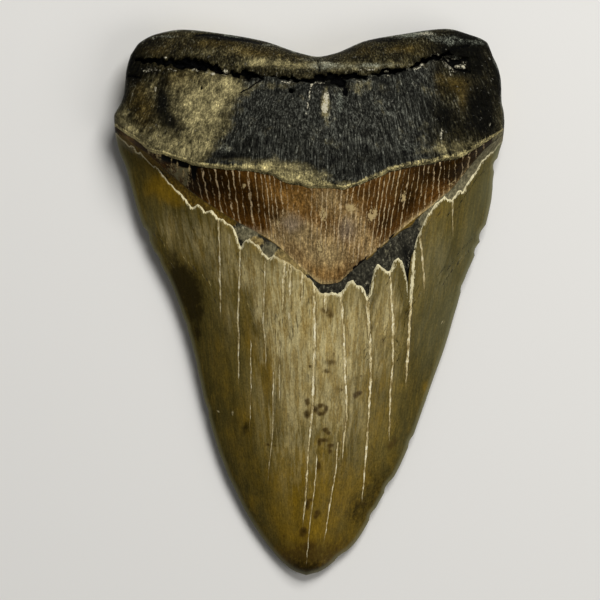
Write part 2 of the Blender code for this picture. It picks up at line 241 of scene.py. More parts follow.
def path_distance(x, y, path):
    """Distance from points to a path of straight stretches."""
    nearest = np.full(np.shape(x), np.inf)
    for (ax, ay), (bx, by) in zip(path, path[1:]):
        run, rise = bx - ax, by - ay
        length = max(run * run + rise * rise, 1e-12)
        f = np.clip(((x - ax) * run + (y - ay) * rise) / length, 0, 1)
        nearest = np.minimum(nearest, np.hypot(x - ax - f * run, y - ay - f * rise))
    return nearest


def outline_path(count=160):
    """The whole outline as a path, up the left side, over the lobes and down the right side."""
    y = np.linspace(TIP_Y, LEFT_SIDE[-1][0], count)
    x = np.linspace(LOBE_TOPS[0][0], LOBE_TOPS[-1][0], count)
    up_left = np.column_stack([side("left", y), y])
    down_right = np.column_stack([side("right", y), y])[::-1]
    return np.concatenate([up_left, np.column_stack([x, lobe_tops(x)]), down_right])


def rounding(distance, radius):
    """A quarter ellipse: 0 on the outline and 1 from this radius inwards."""
    f = np.clip(distance / radius, 0.0, 1.0)
    return np.sqrt(1 - (1 - f) ** 2)


def across(x, y):
    """Where a point of the crown lies across its width, from -1 to 1."""
    y = np.minimum(y, LEFT_SIDE[-1][0])
    left, right = side_curves["left"](y), side_curves["right"](y)
    half = np.maximum((right - left) / 2, 1e-6)
    return np.clip((x - (left + right) / 2) / half, -1.0, 1.0)


def swelling(x, y, lumps):
    """Long, low waves of these heights, widths and lengths."""
    return sum(
        height * np.sin(2 * np.pi * x / wide + n) * np.cos(2 * np.pi * y / long + 2 * n)
        for n, (height, wide, long) in enumerate(lumps, 1)
    )


# Each line ends a band of rows: its height at X, a shift, and how many rows lead up to it.
BANDS = (
    (enamel_edge, -0.6, 150), (enamel_edge, 0.0, 3), (enamel_edge, 0.4, 2), (bourlette_edge, 0.0, 9),
    (root_edge, -ROOT_LIP, 46), (root_edge, 0.0, 4), (root_crack, -CRACK_MARGIN, 66),
    (root_crack, CRACK_MARGIN, 13), (lobe_tops, 0.0, 22),
)
ENAMEL_END, DENTINE_END, ROOT_FOOT, ROOT_BROW, TOP = 2, 4, 5, 6, 9
evenly = np.linspace(0, 1, COLUMNS + 1)
share = SIDE_CROWDING * (0.5 - 0.5 * np.cos(np.pi * evenly)) + (1 - SIDE_CROWDING) * evenly


def points_of_line(line, shift):
    """X and Y of each column on a line that runs from one side of the outline to the other."""
    left, right = LOBE_TOPS[0][0], LOBE_TOPS[-1][0]
    for _ in range(0 if line is lobe_tops else SETTLING):
        left = side("left", line(np.array([left])) + shift)[0]
        right = side("right", line(np.array([right])) + shift)[0]
    x = left + (right - left) * share
    return x, line(x) + shift


def loft_rows():
    """X, Y and level of every point above the tip. Level n lies on the line that closes band n."""
    below, rows, levels = np.full(COLUMNS + 1, TIP_Y), [], []
    for number, (line, shift, count) in enumerate(BANDS):
        x, above = points_of_line(line, shift)
        above = np.maximum(above, below + ROW_GAP * count)
        for i in range(1, count + 1):
            f = i / count
            if number == 0:
                f = f**TIP_CROWDING
                general = crown_base(x) + shift
                y = TIP_Y + f * (general - TIP_Y) + (above - general) * smooth_step(0.5, 1, f)
            else:
                if number == TOP - 1:
                    f = 1 - (1 - f) ** TOP_CROWDING
                y = (1 - f) * below + f * above
            rows.append(y)
            levels.append(number + f)
        below = above
    y, level = np.array(rows), np.array(levels)[:, None] + np.zeros(COLUMNS + 1)
    top = level[:, 0] >= TOP
    left = np.where(top, LOBE_TOPS[0][0], side("left", y[:, 0]))
    right = np.where(top, LOBE_TOPS[-1][0], side("right", y[:, -1]))
    return left[:, None] + (right - left)[:, None] * share, y, level


X, Y, LEVEL = loft_rows()
TO_OUTLINE = path_distance(X, Y, outline_path())


def lingual_height(x, y, level, to_outline):
    """Height of the lingual face above the surface that the tooth lies on, before its fine relief."""
    rim = rim_height(y)
    power, fullness = CROWN_ROUNDNESS
    dome = (1 - np.abs(across(x, y)) ** power) ** fullness
    crown = rim + (crown_crest(y) + swelling(x, y, CROWN_LUMPS)) * dome
    bulge = BULGE_HEIGHT * np.exp(-((x / BULGE_WIDTH) ** 2) - ((y - ROOT_MIDDLE) / BULGE_LENGTH) ** 2)
    body = ROOT_THICKNESS - ROOT_THINNING * (y - ROOT_MIDDLE) - ROOT_SIDEWAYS_FALL * x * x
    body = body + bulge + swelling(x, y, ROOT_LUMPS)
    edge = rounding(to_outline, LINGUAL_ROUNDING)
    root = rim + (body - rim) * edge
    low, high = bourlette_edge(x) - SHOULDER_SPREAD * (x / RIGHT_SIDE[-1][1]) ** 2, root_edge(x)
    height = crown + (root - crown) * smooth_step(low, high, y)
    under_root = smooth_step(low, high - ROOT_LIP, y) * (1 - smooth_step(ROOT_FOOT, ROOT_BROW, level))
    return height - ROOT_STEP * edge * under_root


height = lingual_height(X, Y, LEVEL, TO_OUTLINE)

# Stains are painted as soft patches on the points of the face, and their edges wander. Some of
# the patches are painted shade, sheen and highlights.
PAINTS = ("pale", "warm", "dark", "chalk_and_glint", "stain_and_shade", "rime_and_sheen")
stains_and_light = {name: np.zeros_like(X) for name in PAINTS}
WANDER, WANDER_LENGTH = 1.1, 6.0
FREE_SIZE = 2.0  # patches smaller than this wander less
PATCH_SHARPNESS = 1.2
wander_x = WANDER * (rough(X, Y, WANDER_LENGTH, WANDER_LENGTH, 31) - 0.5) * 2
wander_y = WANDER * (rough(X, Y, WANDER_LENGTH, WANDER_LENGTH, 41) - 0.5) * 2


def paint(name, where, *patches):
    """Adds patches on one tissue: X, Y, half width, half length and strength."""
    for x, y, wide, long, strength in patches:
        loose = min(1.0, min(wide, long) / FREE_SIZE)
        u, v = (X + loose * wander_x - x) / wide, (Y + loose * wander_y - y) / long
        spot = strength * np.exp(-PATCH_SHARPNESS * (u * u + v * v)) * where
        stains_and_light[name] = 1 - (1 - stains_and_light[name]) * (1 - spot)


# ---------------------------------------------------------------------------------------------
# The enamel of the crown. A hard, glossy skin under a millimetre thick, stained olive and honey,
# cracked lengthways as it dried, with pale silt in the cracks. Its upper edge has broken away.
# ---------------------------------------------------------------------------------------------

JUST = 1e-6  # a level this little past a line still counts as on it
ENAMEL = LEVEL < ENAMEL_END + JUST
edge_line = np.linspace(-SHOULDER, SHOULDER, 700)
EDGE_GAP = path_distance(X, Y, np.column_stack([edge_line, enamel_edge(edge_line)]))
EDGE_GAP = np.where(ENAMEL, -EDGE_GAP, EDGE_GAP)

# Silt has whitened the broken edge, more in some stretches: (X, how strongly it shows).
EDGE_WHITENESS = (
    (-52.5, 0.3), (-43.1, 0.75), (-36.0, 0.9), (-19.8, 0.9), (-12.8, 0.6), (-10.7, 0.9), (-8.2, 0.25),
    (0.1, 0.2), (2.3, 0.6), (10.4, 0.95), (24.4, 1.0), (45.0, 1.0), (48.7, 0.8), (52.5, 0.2),
)
# How broad the whitened edge is beside its usual breadth: (X, times).
EDGE_BREADTH = (
    (-52.5, 0.8), (-37.7, 0.8), (-33.6, 1.1), (-19.8, 1.2), (-12.8, 1.3), (0.1, 1.0), (9.6, 1.6),
    (23.4, 1.5), (25.5, 1.1), (28.2, 1.0), (33.1, 1.3), (43.3, 1.2), (52.5, 0.7),
)
FAR = 3.0  # distances beyond this are all the same to the finishes
RIM_CALM = 3.0  # fine relief fades out this near to the outline
edge_reach = np.clip(EDGE_GAP, -FAR, FAR) / curve_through(EDGE_BREADTH)(X)
edge_shows = curve_through(EDGE_WHITENESS)(X) * (0.55 + 0.9 * rough(X, Y, 2.6, 2.6, 24, 3))

# Cracks: half the width, how strongly the crack shows, and its points from top to bottom.
ENAMEL_CRACKS = (
    (0.16, 0.8, (-24.4, 22.0), (-24.2, 14.2), (-24.0, 0.7), (-24.0, -4.2)),
    (0.16, 0.3, (-21.5, 18.0), (-21.7, 12.6)),
    (0.16, 0.95, (-18.5, 14.4), (-18.9, 6.1), (-19.2, -4.7), (-19.0, -11.5), (-19.2, -22.0)),
    (0.11, 0.85, (-15.8, -10.4), (-15.7, -20.9), (-16.1, -34.4)),
    (0.16, 0.7, (-11.9, 10.9), (-12.2, 0.7), (-12.4, -4.7), (-11.9, -11.5), (-11.7, -17.7)),
    (0.16, 0.75, (-9.7, -18.8), (-9.9, -29.0), (-9.8, -34.4), (-10.8, -43.1), (-11.2, -49.0)),
    (0.14, 0.8, (-8.0, -10.7), (-8.1, -27.9)),
    (0.24, 1.0, (-6.5, 11.2), (-6.9, 7.4), (-7.2, 0.7), (-7.4, -5.3)),
    (0.22, 0.9, (-4.9, 10.4), (-5.2, 6.1), (-5.4, -1.5)), (0.16, 0.6, (-5.4, -2.3), (-5.5, -8.5)),
    (0.22, 0.95, (-2.0, 8.5), (-2.1, -2.0)), (0.32, 1.0, (4.2, 2.8), (4.3, -4.5)),
    (0.30, 1.0, (1.2, 6.1), (1.2, 0.7), (1.4, -11.5), (1.2, -18.2), (0.9, -26.3), (0.4, -32.8),
     (-0.2, -38.2), (-0.6, -45.5), (-1.1, -53.3), (-1.6, -57.6), (-1.9, -61.4)),
    (0.19, 0.85, (1.9, -41.4), (1.6, -46.8), (1.0, -53.1), (0.4, -57.4), (0.0, -60.6), (-0.4, -65.5),
     (-0.9, -71.1)),
    (0.28, 0.95, (8.2, 2.8), (8.6, -0.7), (8.8, -3.1), (9.2, -7.4), (9.4, -16.9), (9.9, -24.7),
     (10.1, -30.9), (9.2, -36.3), (8.7, -43.1)),
    (0.22, 0.95, (7.7, -37.9), (7.0, -46.0), (6.3, -49.8), (5.8, -53.1), (4.9, -58.5), (3.9, -64.9)),
    (0.31, 1.0, (15.5, 2.3), (15.7, -2.0), (15.9, -6.6), (16.4, -12.8), (16.5, -19.8), (16.1, -27.4),
     (15.7, -34.7), (15.0, -43.6), (14.4, -50.9), (14.2, -53.9)),
    (0.22, 0.85, (21.5, 10.9), (22.0, -0.1), (22.4, -3.1), (22.5, -9.3), (22.4, -16.9), (21.7, -24.7),
     (21.6, -32.8), (21.5, -37.9)),
    (0.30, 0.95, (27.5, 3.4), (27.1, -3.1), (26.6, -11.2), (26.2, -18.2), (26.0, -23.1)),
    (0.19, 0.6, (29.6, 18.5), (30.4, 12.8), (30.8, 6.1), (30.9, 1.8)),
    (0.14, 0.35, (38.5, 27.7), (38.7, 17.4)),
)
CRACK_REACH = 0.55
FOOT_SPILL, FOOT_TAPER, HEAD_TAPER = 0.6, 5, 0.8  # how a crack thins out at its lower and upper end
NARROW_BELOW, WIDE_ABOVE = -50.0, 10.0  # cracks are narrower towards the tip
CRACK_DEPTH, CRACK_GROOVE = 0.16, 0.3
CRACK_WOBBLE, WOBBLE_LENGTH, BEAD_LENGTH = 0.22, 1.6, 1.3
SKIN_FULLNESS, SKIN_EDGE = 0.3, (0.02, -0.5)  # how the skin thins towards the sides and its edge
NO_CRACK = 99.0
WIDEST = 6.0  # half-widths beyond which a point lies off the crack

crack_gap, crack_shows, crack_width = np.full_like(X, NO_CRACK), np.zeros_like(X), np.ones_like(X)
for number, (half, shows, *path) in enumerate(ENAMEL_CRACKS):
    path_x, path_y = np.array(path[::-1]).T
    foot, head = path_y[0], path_y[-1]
    wobble = CRACK_WOBBLE * (grain(Y, 0 * Y, WOBBLE_LENGTH, 1.0, 50 + number) - 0.5)
    line = np.interp(Y, path_y, path_x) + wobble
    ends = smooth_step(foot - FOOT_SPILL, foot + FOOT_TAPER, Y)
    ends = ends * (1 - smooth_step(head, head + HEAD_TAPER, Y))
    gap = X - line
    here = (np.abs(gap) < np.abs(crack_gap)) & (ends > 0)
    beads = 0.65 + 0.7 * grain(Y, 0 * Y, BEAD_LENGTH, 1.0, 80 + number)
    tapered = half * beads * (0.4 + 0.6 * ends) * (0.6 + 0.7 * smooth_step(NARROW_BELOW, WIDE_ABOVE, Y))
    crack_gap[here] = gap[here]
    crack_shows[here] = np.where(np.abs(gap) < CRACK_REACH, shows * ends, 0.0)[here]
    crack_width[here] = tapered[here]

groove = np.exp(-((crack_gap / CRACK_GROOVE) ** 2)) * crack_shows
crack_offset = np.clip(crack_gap / crack_width, -WIDEST, WIDEST)
crown_dome = (1 - np.abs(across(X, Y)) ** CROWN_ROUNDNESS[0]) ** SKIN_FULLNESS
enamel_skin = ENAMEL_STEP * crown_dome * smooth_step(*SKIN_EDGE, EDGE_GAP)
COMBING, HOLLOWS = 0.07, 0.08  # depths of the enamel's own fine relief
enamel_relief = COMBING * grain(X, Y, 0.9, 24.0, 61) + HOLLOWS * rough(X, Y, 5.0, 12.0, 63)
height += np.where(ENAMEL, enamel_skin, 0.0)
height -= np.where(ENAMEL, CRACK_DEPTH * groove, 0.0)
height -= np.where(ENAMEL, enamel_relief, 0.0) * crown_dome

on_enamel = ENAMEL * 1.0
# Pale patches over the middle of the crown: partly a pale stain, partly a painted sheen.
paint(
    "pale", on_enamel,
    (-2.6, -4.2, 8.6, 15.7, 1.0), (6.9, -11.5, 8.6, 15.1, 0.75), (-6.6, -25.0, 7.6, 13.5, 0.5),
    (18.5, -7.4, 5.4, 13.5, 0.45), (-16.1, 8.2, 3.2, 6.5, 0.7), (-13.9, -0.9, 1.4, 5.4, 0.8),
    (-9.0, 8.2, 3.8, 5.9, 0.6), (-3.1, 4.5, 3.8, 3.2, 0.4), (-9.3, -8.0, 3.8, 7.0, 0.35),
    (12.6, -1.5, 2.7, 7.0, 0.4), (22.0, -0.9, 2.4, 7.6, 0.5), (-21.5, -4.2, 1.9, 7.0, 0.2),
    (-9.6, 0.7, 2.7, 10.8, 0.5), (-22.8, 10.9, 4.9, 9.7, 0.35), (-29.6, 17.4, 5.9, 6.5, 0.35),
    (35.2, 10.9, 7.0, 11.9, 0.12), (-2.6, -41.2, 7.0, 10.8, 0.2), (-37.1, 20.9, 4.3, 4.9, 0.3),
    (-9.0, -7.4, 4.3, 8.1, 0.4), (9.6, -34.4, 5.4, 10.8, 0.2), (5.0, -26.3, 8.1, 9.7, 0.4),
    (31.2, -7.4, 5.4, 13.5, 0.05),
)
paint(
    "warm", on_enamel,
    (-40.4, 32.0, 4.9, 3.8, 1.0), (-37.1, 29.3, 3.2, 2.4, 1.2), (-35.0, 26.9, 3.8, 2.2, 0.8),
    (-16.9, -7.4, 1.6, 7.6, 0.5), (-25.5, 20.1, 4.3, 1.9, 0.4), (-23.6, -15.5, 3.2, 13.5, 0.4),
    (-43.1, 37.1, 3.2, 3.2, 0.5), (-14.2, 10.9, 2.2, 5.4, 0.5), (-11.2, 0.7, 0.8, 8.1, 0.6),
    (-16.9, -6.3, 1.1, 4.3, 0.3), (-15.0, -11.5, 1.6, 5.4, 0.6), (-10.7, -19.3, 1.9, 5.9, 0.7),
    (-12.8, -18.8, 3.2, 16.2, 0.45), (-2.6, -47.9, 16.2, 16.2, 0.6), (-1.8, -64.1, 13.5, 10.8, 0.7),
    (-18.8, -34.4, 3.8, 11.9, 0.5), (33.3, 23.9, 3.2, 3.2, 0.5), (30.9, -22.3, 1.1, 1.6, 0.6),
    (19.0, -26.3, 8.1, 21.6, 0.4), (10.9, -53.3, 10.8, 10.8, 0.5), (5.0, -5.3, 0.8, 1.4, 0.6),
    (2.6, -70.9, 0.8, 0.8, 0.9), (-14.7, 14.2, 2.2, 3.8, 0.5), (-30.6, 11.5, 5.4, 6.5, 0.3),
)
# A large brown stain by the left edge, small spots of it down the middle, and broad patches of it over the
# lower crown and the tip.
paint(
    "stain_and_shade", on_enamel,
    (-37.1, 13.1, 3.2, 2.4, 0.5), (-34.4, 7.7, 4.3, 3.5, 0.8), (-32.0, 2.3, 4.1, 4.9, 0.9),
    (-30.6, -2.6, 3.0, 3.8, 0.85), (-29.8, -8.5, 1.4, 2.7, 0.8), (-36.0, 4.5, 3.8, 6.5, 0.7),
    (-17.1, -33.9, 1.6, 3.0, 0.6), (-1.5, -71.7, 9.2, 3.8, 0.6), (18.0, -51.2, 6.5, 11.3, 0.5),
    (-18.8, -53.3, 3.2, 13.5, 0.25), (12.0, -56.6, 3.8, 6.5, 0.5),
)
# Small dark spots, and broad dark patches over the tip.
paint(
    "dark", on_enamel,
    (-0.7, -26.6, 0.7, 1.2, 1.0), (-0.9, -29.8, 1.0, 1.2, 1.0), (1.4, -28.6, 1.1, 0.9, 1.0),
    (3.0, -27.7, 1.1, 0.6, 0.9), (4.5, -28.6, 0.6, 1.0, 0.95), (3.1, -29.8, 1.2, 0.6, 0.95),
    (12.4, -25.0, 0.9, 0.9, 1.0), (13.5, -24.4, 0.8, 0.6, 0.9), (4.2, -34.4, 0.9, 0.8, 0.9),
    (5.1, -35.2, 0.7, 0.6, 0.8), (2.6, -37.7, 0.6, 1.1, 0.9), (3.9, -37.1, 1.4, 0.6, 0.85),
    (5.8, -38.5, 1.1, 0.6, 0.9), (5.5, -40.1, 0.7, 0.9, 0.85), (2.3, -44.1, 0.8, 1.6, 0.8),
    (-0.4, -54.7, 0.8, 1.4, 0.95), (0.4, -53.3, 0.9, 0.6, 0.8), (2.3, -56.8, 0.9, 0.8, 0.9),
    (1.6, -57.9, 0.7, 0.7, 0.8), (-1.8, -61.7, 1.1, 1.4, 1.0), (5.5, -16.1, 1.9, 0.9, 0.65),
    (4.7, -18.5, 1.6, 0.8, 0.6), (6.3, -14.2, 0.6, 1.1, 0.5), (12.8, -20.4, 0.5, 0.6, 0.6),
    (13.9, -19.8, 0.5, 0.5, 0.6), (15.0, -21.7, 0.5, 0.5, 0.6), (8.5, -23.4, 0.9, 0.5, 0.6),
    (0.1, -17.3, 0.6, 0.5, 0.8), (4.2, -2.0, 1.9, 1.1, 0.62), (5.3, -3.4, 1.4, 1.1, 0.55),
    (16.6, -6.9, 0.6, 1.4, 0.6), (19.8, -10.4, 0.5, 1.4, 0.6), (21.7, -39.0, 2.2, 1.9, 0.45),
    (23.1, -37.1, 0.8, 1.4, 0.4), (-11.2, -38.2, 1.1, 0.5, 0.6), (-9.3, -38.5, 0.6, 0.6, 0.6),
    (8.2, -43.9, 0.5, 0.5, 0.5), (14.2, -54.1, 2.2, 0.8, 0.45), (-7.2, -63.0, 0.7, 0.5, 0.5),
    (-0.1, -72.0, 3.8, 1.4, 0.6), (-0.1, -66.3, 1.4, 2.2, 0.4), (-45.8, 19.6, 1.6, 10.8, 0.25),
    (-21.5, -45.2, 2.7, 13.5, 0.25), (-2.6, -68.4, 11.9, 5.4, 0.5), (-0.1, -73.3, 6.5, 2.4, 0.6),
    (8.2, -64.1, 8.1, 8.1, 0.25),
)
paint(
    # A grey bloom along the crown's right flank and edges, mostly a painted sheen and edge highlight.
    "rime_and_sheen", on_enamel,
    (47.7, 29.8, 2.4, 9.7, 0.5), (51.4, 39.0, 1.9, 6.5, 1.1), (43.9, 14.2, 3.2, 16.2, 0.5),
    (39.3, -4.7, 3.8, 13.5, 0.5), (33.1, -7.4, 5.9, 16.2, 0.35), (35.2, 11.5, 5.4, 9.2, 0.3),
    (-50.4, 33.6, 1.9, 9.2, 0.6), (27.1, -45.2, 3.2, 13.5, 0.3), (-43.6, 19.0, 2.2, 7.0, 0.3),
)
paint(
    "chalk_and_glint", on_enamel,
    (-24.7, -29.6, 0.7, 0.5, 0.7), (-20.9, -29.8, 0.5, 0.7, 0.7), (36.0, -5.5, 0.8, 0.5, 0.7),
    (5.3, -6.3, 0.6, 1.2, 0.55), (9.6, -5.3, 0.8, 2.2, 0.3), (-27.4, -10.1, 1.1, 0.8, 0.3),
)


# How the finishes are made: each starts from one colour, and others cover it where a mask says so.
def mix_colours(node):
    """The two colour sockets of a Mix node, which also has sockets for other kinds of value."""
    return [socket for socket in node.inputs if socket.type == "RGBA"]


SEED_STEPS = (3.7, 1.9, 5.3)  # each seed moves the noise by this much, in its own cells
FINEST_DEPTH = 0.5  # noise cells are never less deep than this
MOTTLE_SPREAD = 9.0  # stretches noise about its middle to roughly one either way


class Finish:
    def __init__(self, name, colour):
        self.material = bpy.data.materials.new(name)
        self.material.use_nodes = True
        self.tree = self.material.node_tree
        self.shader = self.tree.nodes["Principled BSDF"]
        self.skin = self.shade(colour)
        self.growth = self.add("ShaderNodeAttribute", attribute_name="growth").outputs["Vector"]

    def shade(self, colour):
        """A colour as a colour chart gives it, from 0 to 255, in the shader's linear light."""
        linear = (c / 255 / 12.92 if c < 11 else ((c / 255 + 0.055) / 1.055) ** 2.4 for c in colour)
        return (*linear, 1.0)

    def add(self, kind, **settings):
        node = self.tree.nodes.new(kind)
        for name, value in settings.items():
            setattr(node, name, value)
        return node

    def feed(self, socket, value):
        if isinstance(value, bpy.types.NodeSocket):
            self.tree.links.new(value, socket)
        else:
            socket.default_value = value

    def calculate(self, operation, *values):
        node = self.add("ShaderNodeMath", operation=operation)
        for socket, value in zip(node.inputs, values):
            self.feed(socket, value)
        return node.outputs[0]

    def times(self, one, other):
        return self.calculate("MULTIPLY", one, other)

    def plus(self, one, other):
        return self.calculate("ADD", one, other)

    def scale(self, value, factor, shift):
        """The value times the factor, plus the shift."""
        return self.calculate("MULTIPLY_ADD", value, factor, shift)

    def read(self, name):
        return self.add("ShaderNodeAttribute", attribute_name=name).outputs["Fac"]

    def set_range(self, node, **sockets):
        for name, value in sockets.items():
            self.feed(node.inputs[name.replace("_", " ")], value)
        return node.outputs["Result"]

    def between(self, value, low, high):
        """0 at low and 1 at high, with a soft step between them."""
        node = self.add("ShaderNodeMapRange", interpolation_type="SMOOTHSTEP")
        return self.set_range(node, Value=value, From_Min=low, From_Max=high)

    def noise(self, wide, long, seed, detail=3.0, bumpy=0.55):
        """Noise with cells this wide and long in millimetres, laid along the growth of the tooth."""
        place = self.add("ShaderNodeMapping")
        self.feed(place.inputs["Vector"], self.growth)
        place.inputs["Scale"].default_value = (1 / wide, 1 / long, 1 / max(wide, FINEST_DEPTH))
        place.inputs["Location"].default_value = [seed * step for step in SEED_STEPS]
        node = self.add("ShaderNodeTexNoise")
        self.feed(node.inputs["Vector"], place.outputs["Vector"])
        node.inputs["Scale"].default_value = 1.0
        node.inputs["Detail"].default_value = detail
        node.inputs["Roughness"].default_value = bumpy
        return node.outputs["Fac"]

    def cover(self, amount, colour, strength=1.0):
        """Covers the skin with a colour where the amount says so."""
        node = self.add("ShaderNodeMix", data_type="RGBA")
        self.feed(node.inputs["Factor"], self.times(amount, strength))
        self.feed(mix_colours(node)[0], self.skin)
        self.feed(mix_colours(node)[1], self.shade(colour))
        self.skin = node.outputs[2]

    def cover_patch(self, name, noise, spread, low, high, colour, strength=1.0):
        """Covers the skin where the named patch lies, whether stain or painted light, with an edge that
        follows the noise.
        """
        crisp = self.between(self.plus(self.read(name), self.scale(noise, spread, -spread / 2)), low, high)
        self.cover(crisp, colour, strength)

    def mottle(self, noise, contrast):
        """Darkens and lightens the skin, by about this factor either way."""
        lit = self.add("ShaderNodeMix", data_type="RGBA", blend_type="MULTIPLY")
        lit.inputs["Factor"].default_value = 1.0
        self.feed(mix_colours(lit)[0], self.skin)
        power = self.scale(noise, MOTTLE_SPREAD, -MOTTLE_SPREAD / 2)
        self.feed(mix_colours(lit)[1], self.calculate("POWER", contrast, power))
        self.skin = lit.outputs[2]

    def gloss(self, value, low, high):
        """Roughness from low, where the value is 0, to high, where it is 1."""
        node = self.add("ShaderNodeMapRange")
        self.feed(self.shader.inputs["Roughness"], self.set_range(node, Value=value, To_Min=low, To_Max=high))

    def done(self, relief, depth, shine):
        """Joins the skin to the shader, with a fine relief this many millimetres deep."""
        self.shader.inputs["Specular IOR Level"].default_value = shine
        self.feed(self.shader.inputs["Base Color"], self.skin)
        bump = self.add("ShaderNodeBump")
        bump.inputs["Strength"].default_value = 1.0
        bump.inputs["Distance"].default_value = depth * METRES
        self.feed(bump.inputs["Height"], relief)
        self.feed(self.shader.inputs["Normal"], bump.outputs["Normal"])
        return self.material


# The enamel's colours, as a colour chart gives them.
OLIVE, LIGHT_OLIVE, FLANK_OLIVE_AND_SHADE, HONEY, CREAM_AND_SHEEN = (
    (85, 73, 30), (104, 90, 42), (56, 49, 14), (116, 90, 14), (160, 141, 90),
)
STREAK_BROWN, CREAM_FILM_AND_SHEEN, HAIR_BROWN = (104, 80, 26), (184, 171, 124), (44, 33, 8)
SPOT_BROWN, SPOT_CORE, DEEP_BROWN = (62, 44, 13), (28, 18, 2), (35, 27, 2)
GREY_BLOOM_AND_SHEEN, CHALK_SPECK, ENAMEL_RIM_HIGHLIGHT = (90, 92, 70), (178, 164, 122), (120, 117, 88)
CRACK_SHADE, CRACK_TAN, CRACK_SILT, CRACK_WHITE = (
    (62, 47, 15), (130, 111, 66), (196, 179, 130), (234, 224, 188),
)
BROKEN_EDGE = (218, 208, 168)


def enamel_finish():
    skin = Finish("olive enamel", OLIVE)
    streaks, broad = skin.noise(0.6, 50.0, 1, 4.0, 0.7), skin.noise(6.0, 50.0, 2)
    fine, speckle = skin.noise(0.35, 16.0, 3, 3.0, 0.6), skin.noise(0.5, 0.7, 4, 3.0, 0.8)
    cloud, clot = skin.noise(4.0, 6.0, 5, 4.0), skin.times(skin.noise(1.3, 1.6, 12, 4.0, 0.7), 2.0)
    bands, hairs = skin.noise(1.3, 45.0, 10, 4.0, 0.6), skin.noise(0.3, 24.0, 13, 2.0, 0.5)
    pale = skin.read("pale")
    skin.cover(skin.between(broad, 0.38, 0.62), LIGHT_OLIVE)
    # The flanks are a darker olive, partly the enamel's own tone and partly painted shade where they turn
    # away from the light.
    skin.cover(skin.read("flank_tone_and_shade"), FLANK_OLIVE_AND_SHADE)
    skin.cover_patch("warm", cloud, 1.0, 0.1, 1.0, HONEY, 0.85)
    # Cream where the pale patches lie, partly a pale stain and partly a painted sheen.
    skin.cover_patch("pale", broad, 0.7, 0.05, 0.95, CREAM_AND_SHEEN)
    skin.cover(skin.times(skin.between(streaks, 0.5, 0.58), skin.scale(pale, 0.7, 0.25)), STREAK_BROWN, 0.65)
    # A cream film in long bands over the pale patches, partly painted highlight streaks.
    skin.cover(skin.times(skin.between(bands, 0.46, 0.57), pale), CREAM_FILM_AND_SHEEN, 0.8)
    skin.cover(skin.times(skin.between(hairs, 0.58, 0.66), pale), HAIR_BROWN, 0.7)
    for noise, contrast in ((cloud, 1.08), (streaks, 1.14), (fine, 1.1), (speckle, 1.2)):
        skin.mottle(noise, contrast)

    cover_patch = skin.times(skin.times(skin.read("dark"), clot), skin.scale(speckle, 1.6, 0.2))
    skin.cover(skin.between(cover_patch, 0.15, 0.6), SPOT_BROWN, 0.8)
    skin.cover(skin.between(cover_patch, 0.5, 1.2), SPOT_CORE, 0.7)
    skin.cover(skin.between(skin.times(skin.read("stain_and_shade"), clot), 0.2, 0.75), DEEP_BROWN, 0.9)
    # Grey over the right flank and the edges: a grey bloom, mostly painted sheen and edge highlight.
    skin.cover(skin.read("rime_and_sheen"), GREY_BLOOM_AND_SHEEN, 0.8)
    skin.cover_patch("chalk_and_glint", speckle, 0.8, 0.3, 0.7, CHALK_SPECK)
    # Paler along the outline: a painted rim highlight.
    skin.cover(skin.between(skin.read("outline"), 1.4, 0.0), ENAMEL_RIM_HIGHLIGHT, 0.7)

    # The cracks: a dark fringe of painted shade beside them, then the silt in them, paler where it is thick.
    shows, grains = skin.read("crack_shows"), skin.noise(0.3, 1.3, 7, 3.0, 0.8)
    near = skin.scale(grains, 1.5, skin.calculate("ABSOLUTE", skin.read("crack")))
    line = skin.times(skin.between(near, 2.0, 1.4), shows)
    filled = skin.scale(grains, -0.6, skin.noise(1.6, 3.2, 14, 3.0, 0.7))
    skin.cover(skin.times(skin.between(near, 3.4, 1.9), shows), CRACK_SHADE, 0.5)
    skin.cover(line, CRACK_TAN)
    skin.cover(skin.times(line, skin.between(filled, 0.06, 0.2)), CRACK_SILT)
    skin.cover(skin.times(line, skin.between(filled, 0.22, 0.32)), CRACK_WHITE)

    edge = skin.scale(grains, 1.3, skin.times(skin.read("edge_gap"), 0.9))
    edge = skin.scale(skin.noise(0.5, 2.0, 15, 3.0, 0.7), 1.3, edge)
    skin.cover(skin.times(skin.between(edge, 0.9, 1.1), skin.read("edge_shows")), BROKEN_EDGE)
    skin.gloss(skin.between(speckle, 0.3, 0.7), 0.26, 0.38)
    return skin.done(fine, 0.04, 0.08)


# ---------------------------------------------------------------------------------------------
# The bared dentine. Where enamel has flaked off above its edge, the black, rough dentine shows,
# with a long wedge of it on the right. Towards both shoulders a thin tan or grey film covers it.
# ---------------------------------------------------------------------------------------------

DENTINE = (LEVEL > ENAMEL_END + JUST) & (LEVEL < DENTINE_END - JUST)
DENTINE_ROUGHNESS = 0.28
height -= np.where(DENTINE, DENTINE_ROUGHNESS * rough(X, Y, 1.6, 2.4, 71), 0.0) * crown_dome
on_dentine = ((EDGE_GAP > -0.3) & (LEVEL < DENTINE_END - JUST)) * 1.0
paint(
    "pale", on_dentine,
    (-43.1, 39.8, 9.2, 5.9, 1.0), (-33.6, 30.4, 7.6, 6.5, 1.0), (-26.3, 25.5, 7.6, 4.9, 1.0),
    (-20.9, 21.7, 2.2, 1.9, 0.9), (-50.6, 43.6, 4.3, 2.7, 0.8), (-47.9, 40.1, 3.8, 1.6, 0.5),
)
paint(
    "warm", on_dentine,
    (-13.9, 16.9, 2.7, 1.9, 0.8), (-6.9, 13.4, 3.5, 2.4, 1.0), (-1.8, 8.8, 3.8, 2.4, 1.0),
    (-4.2, 10.9, 2.7, 2.2, 1.0),
)
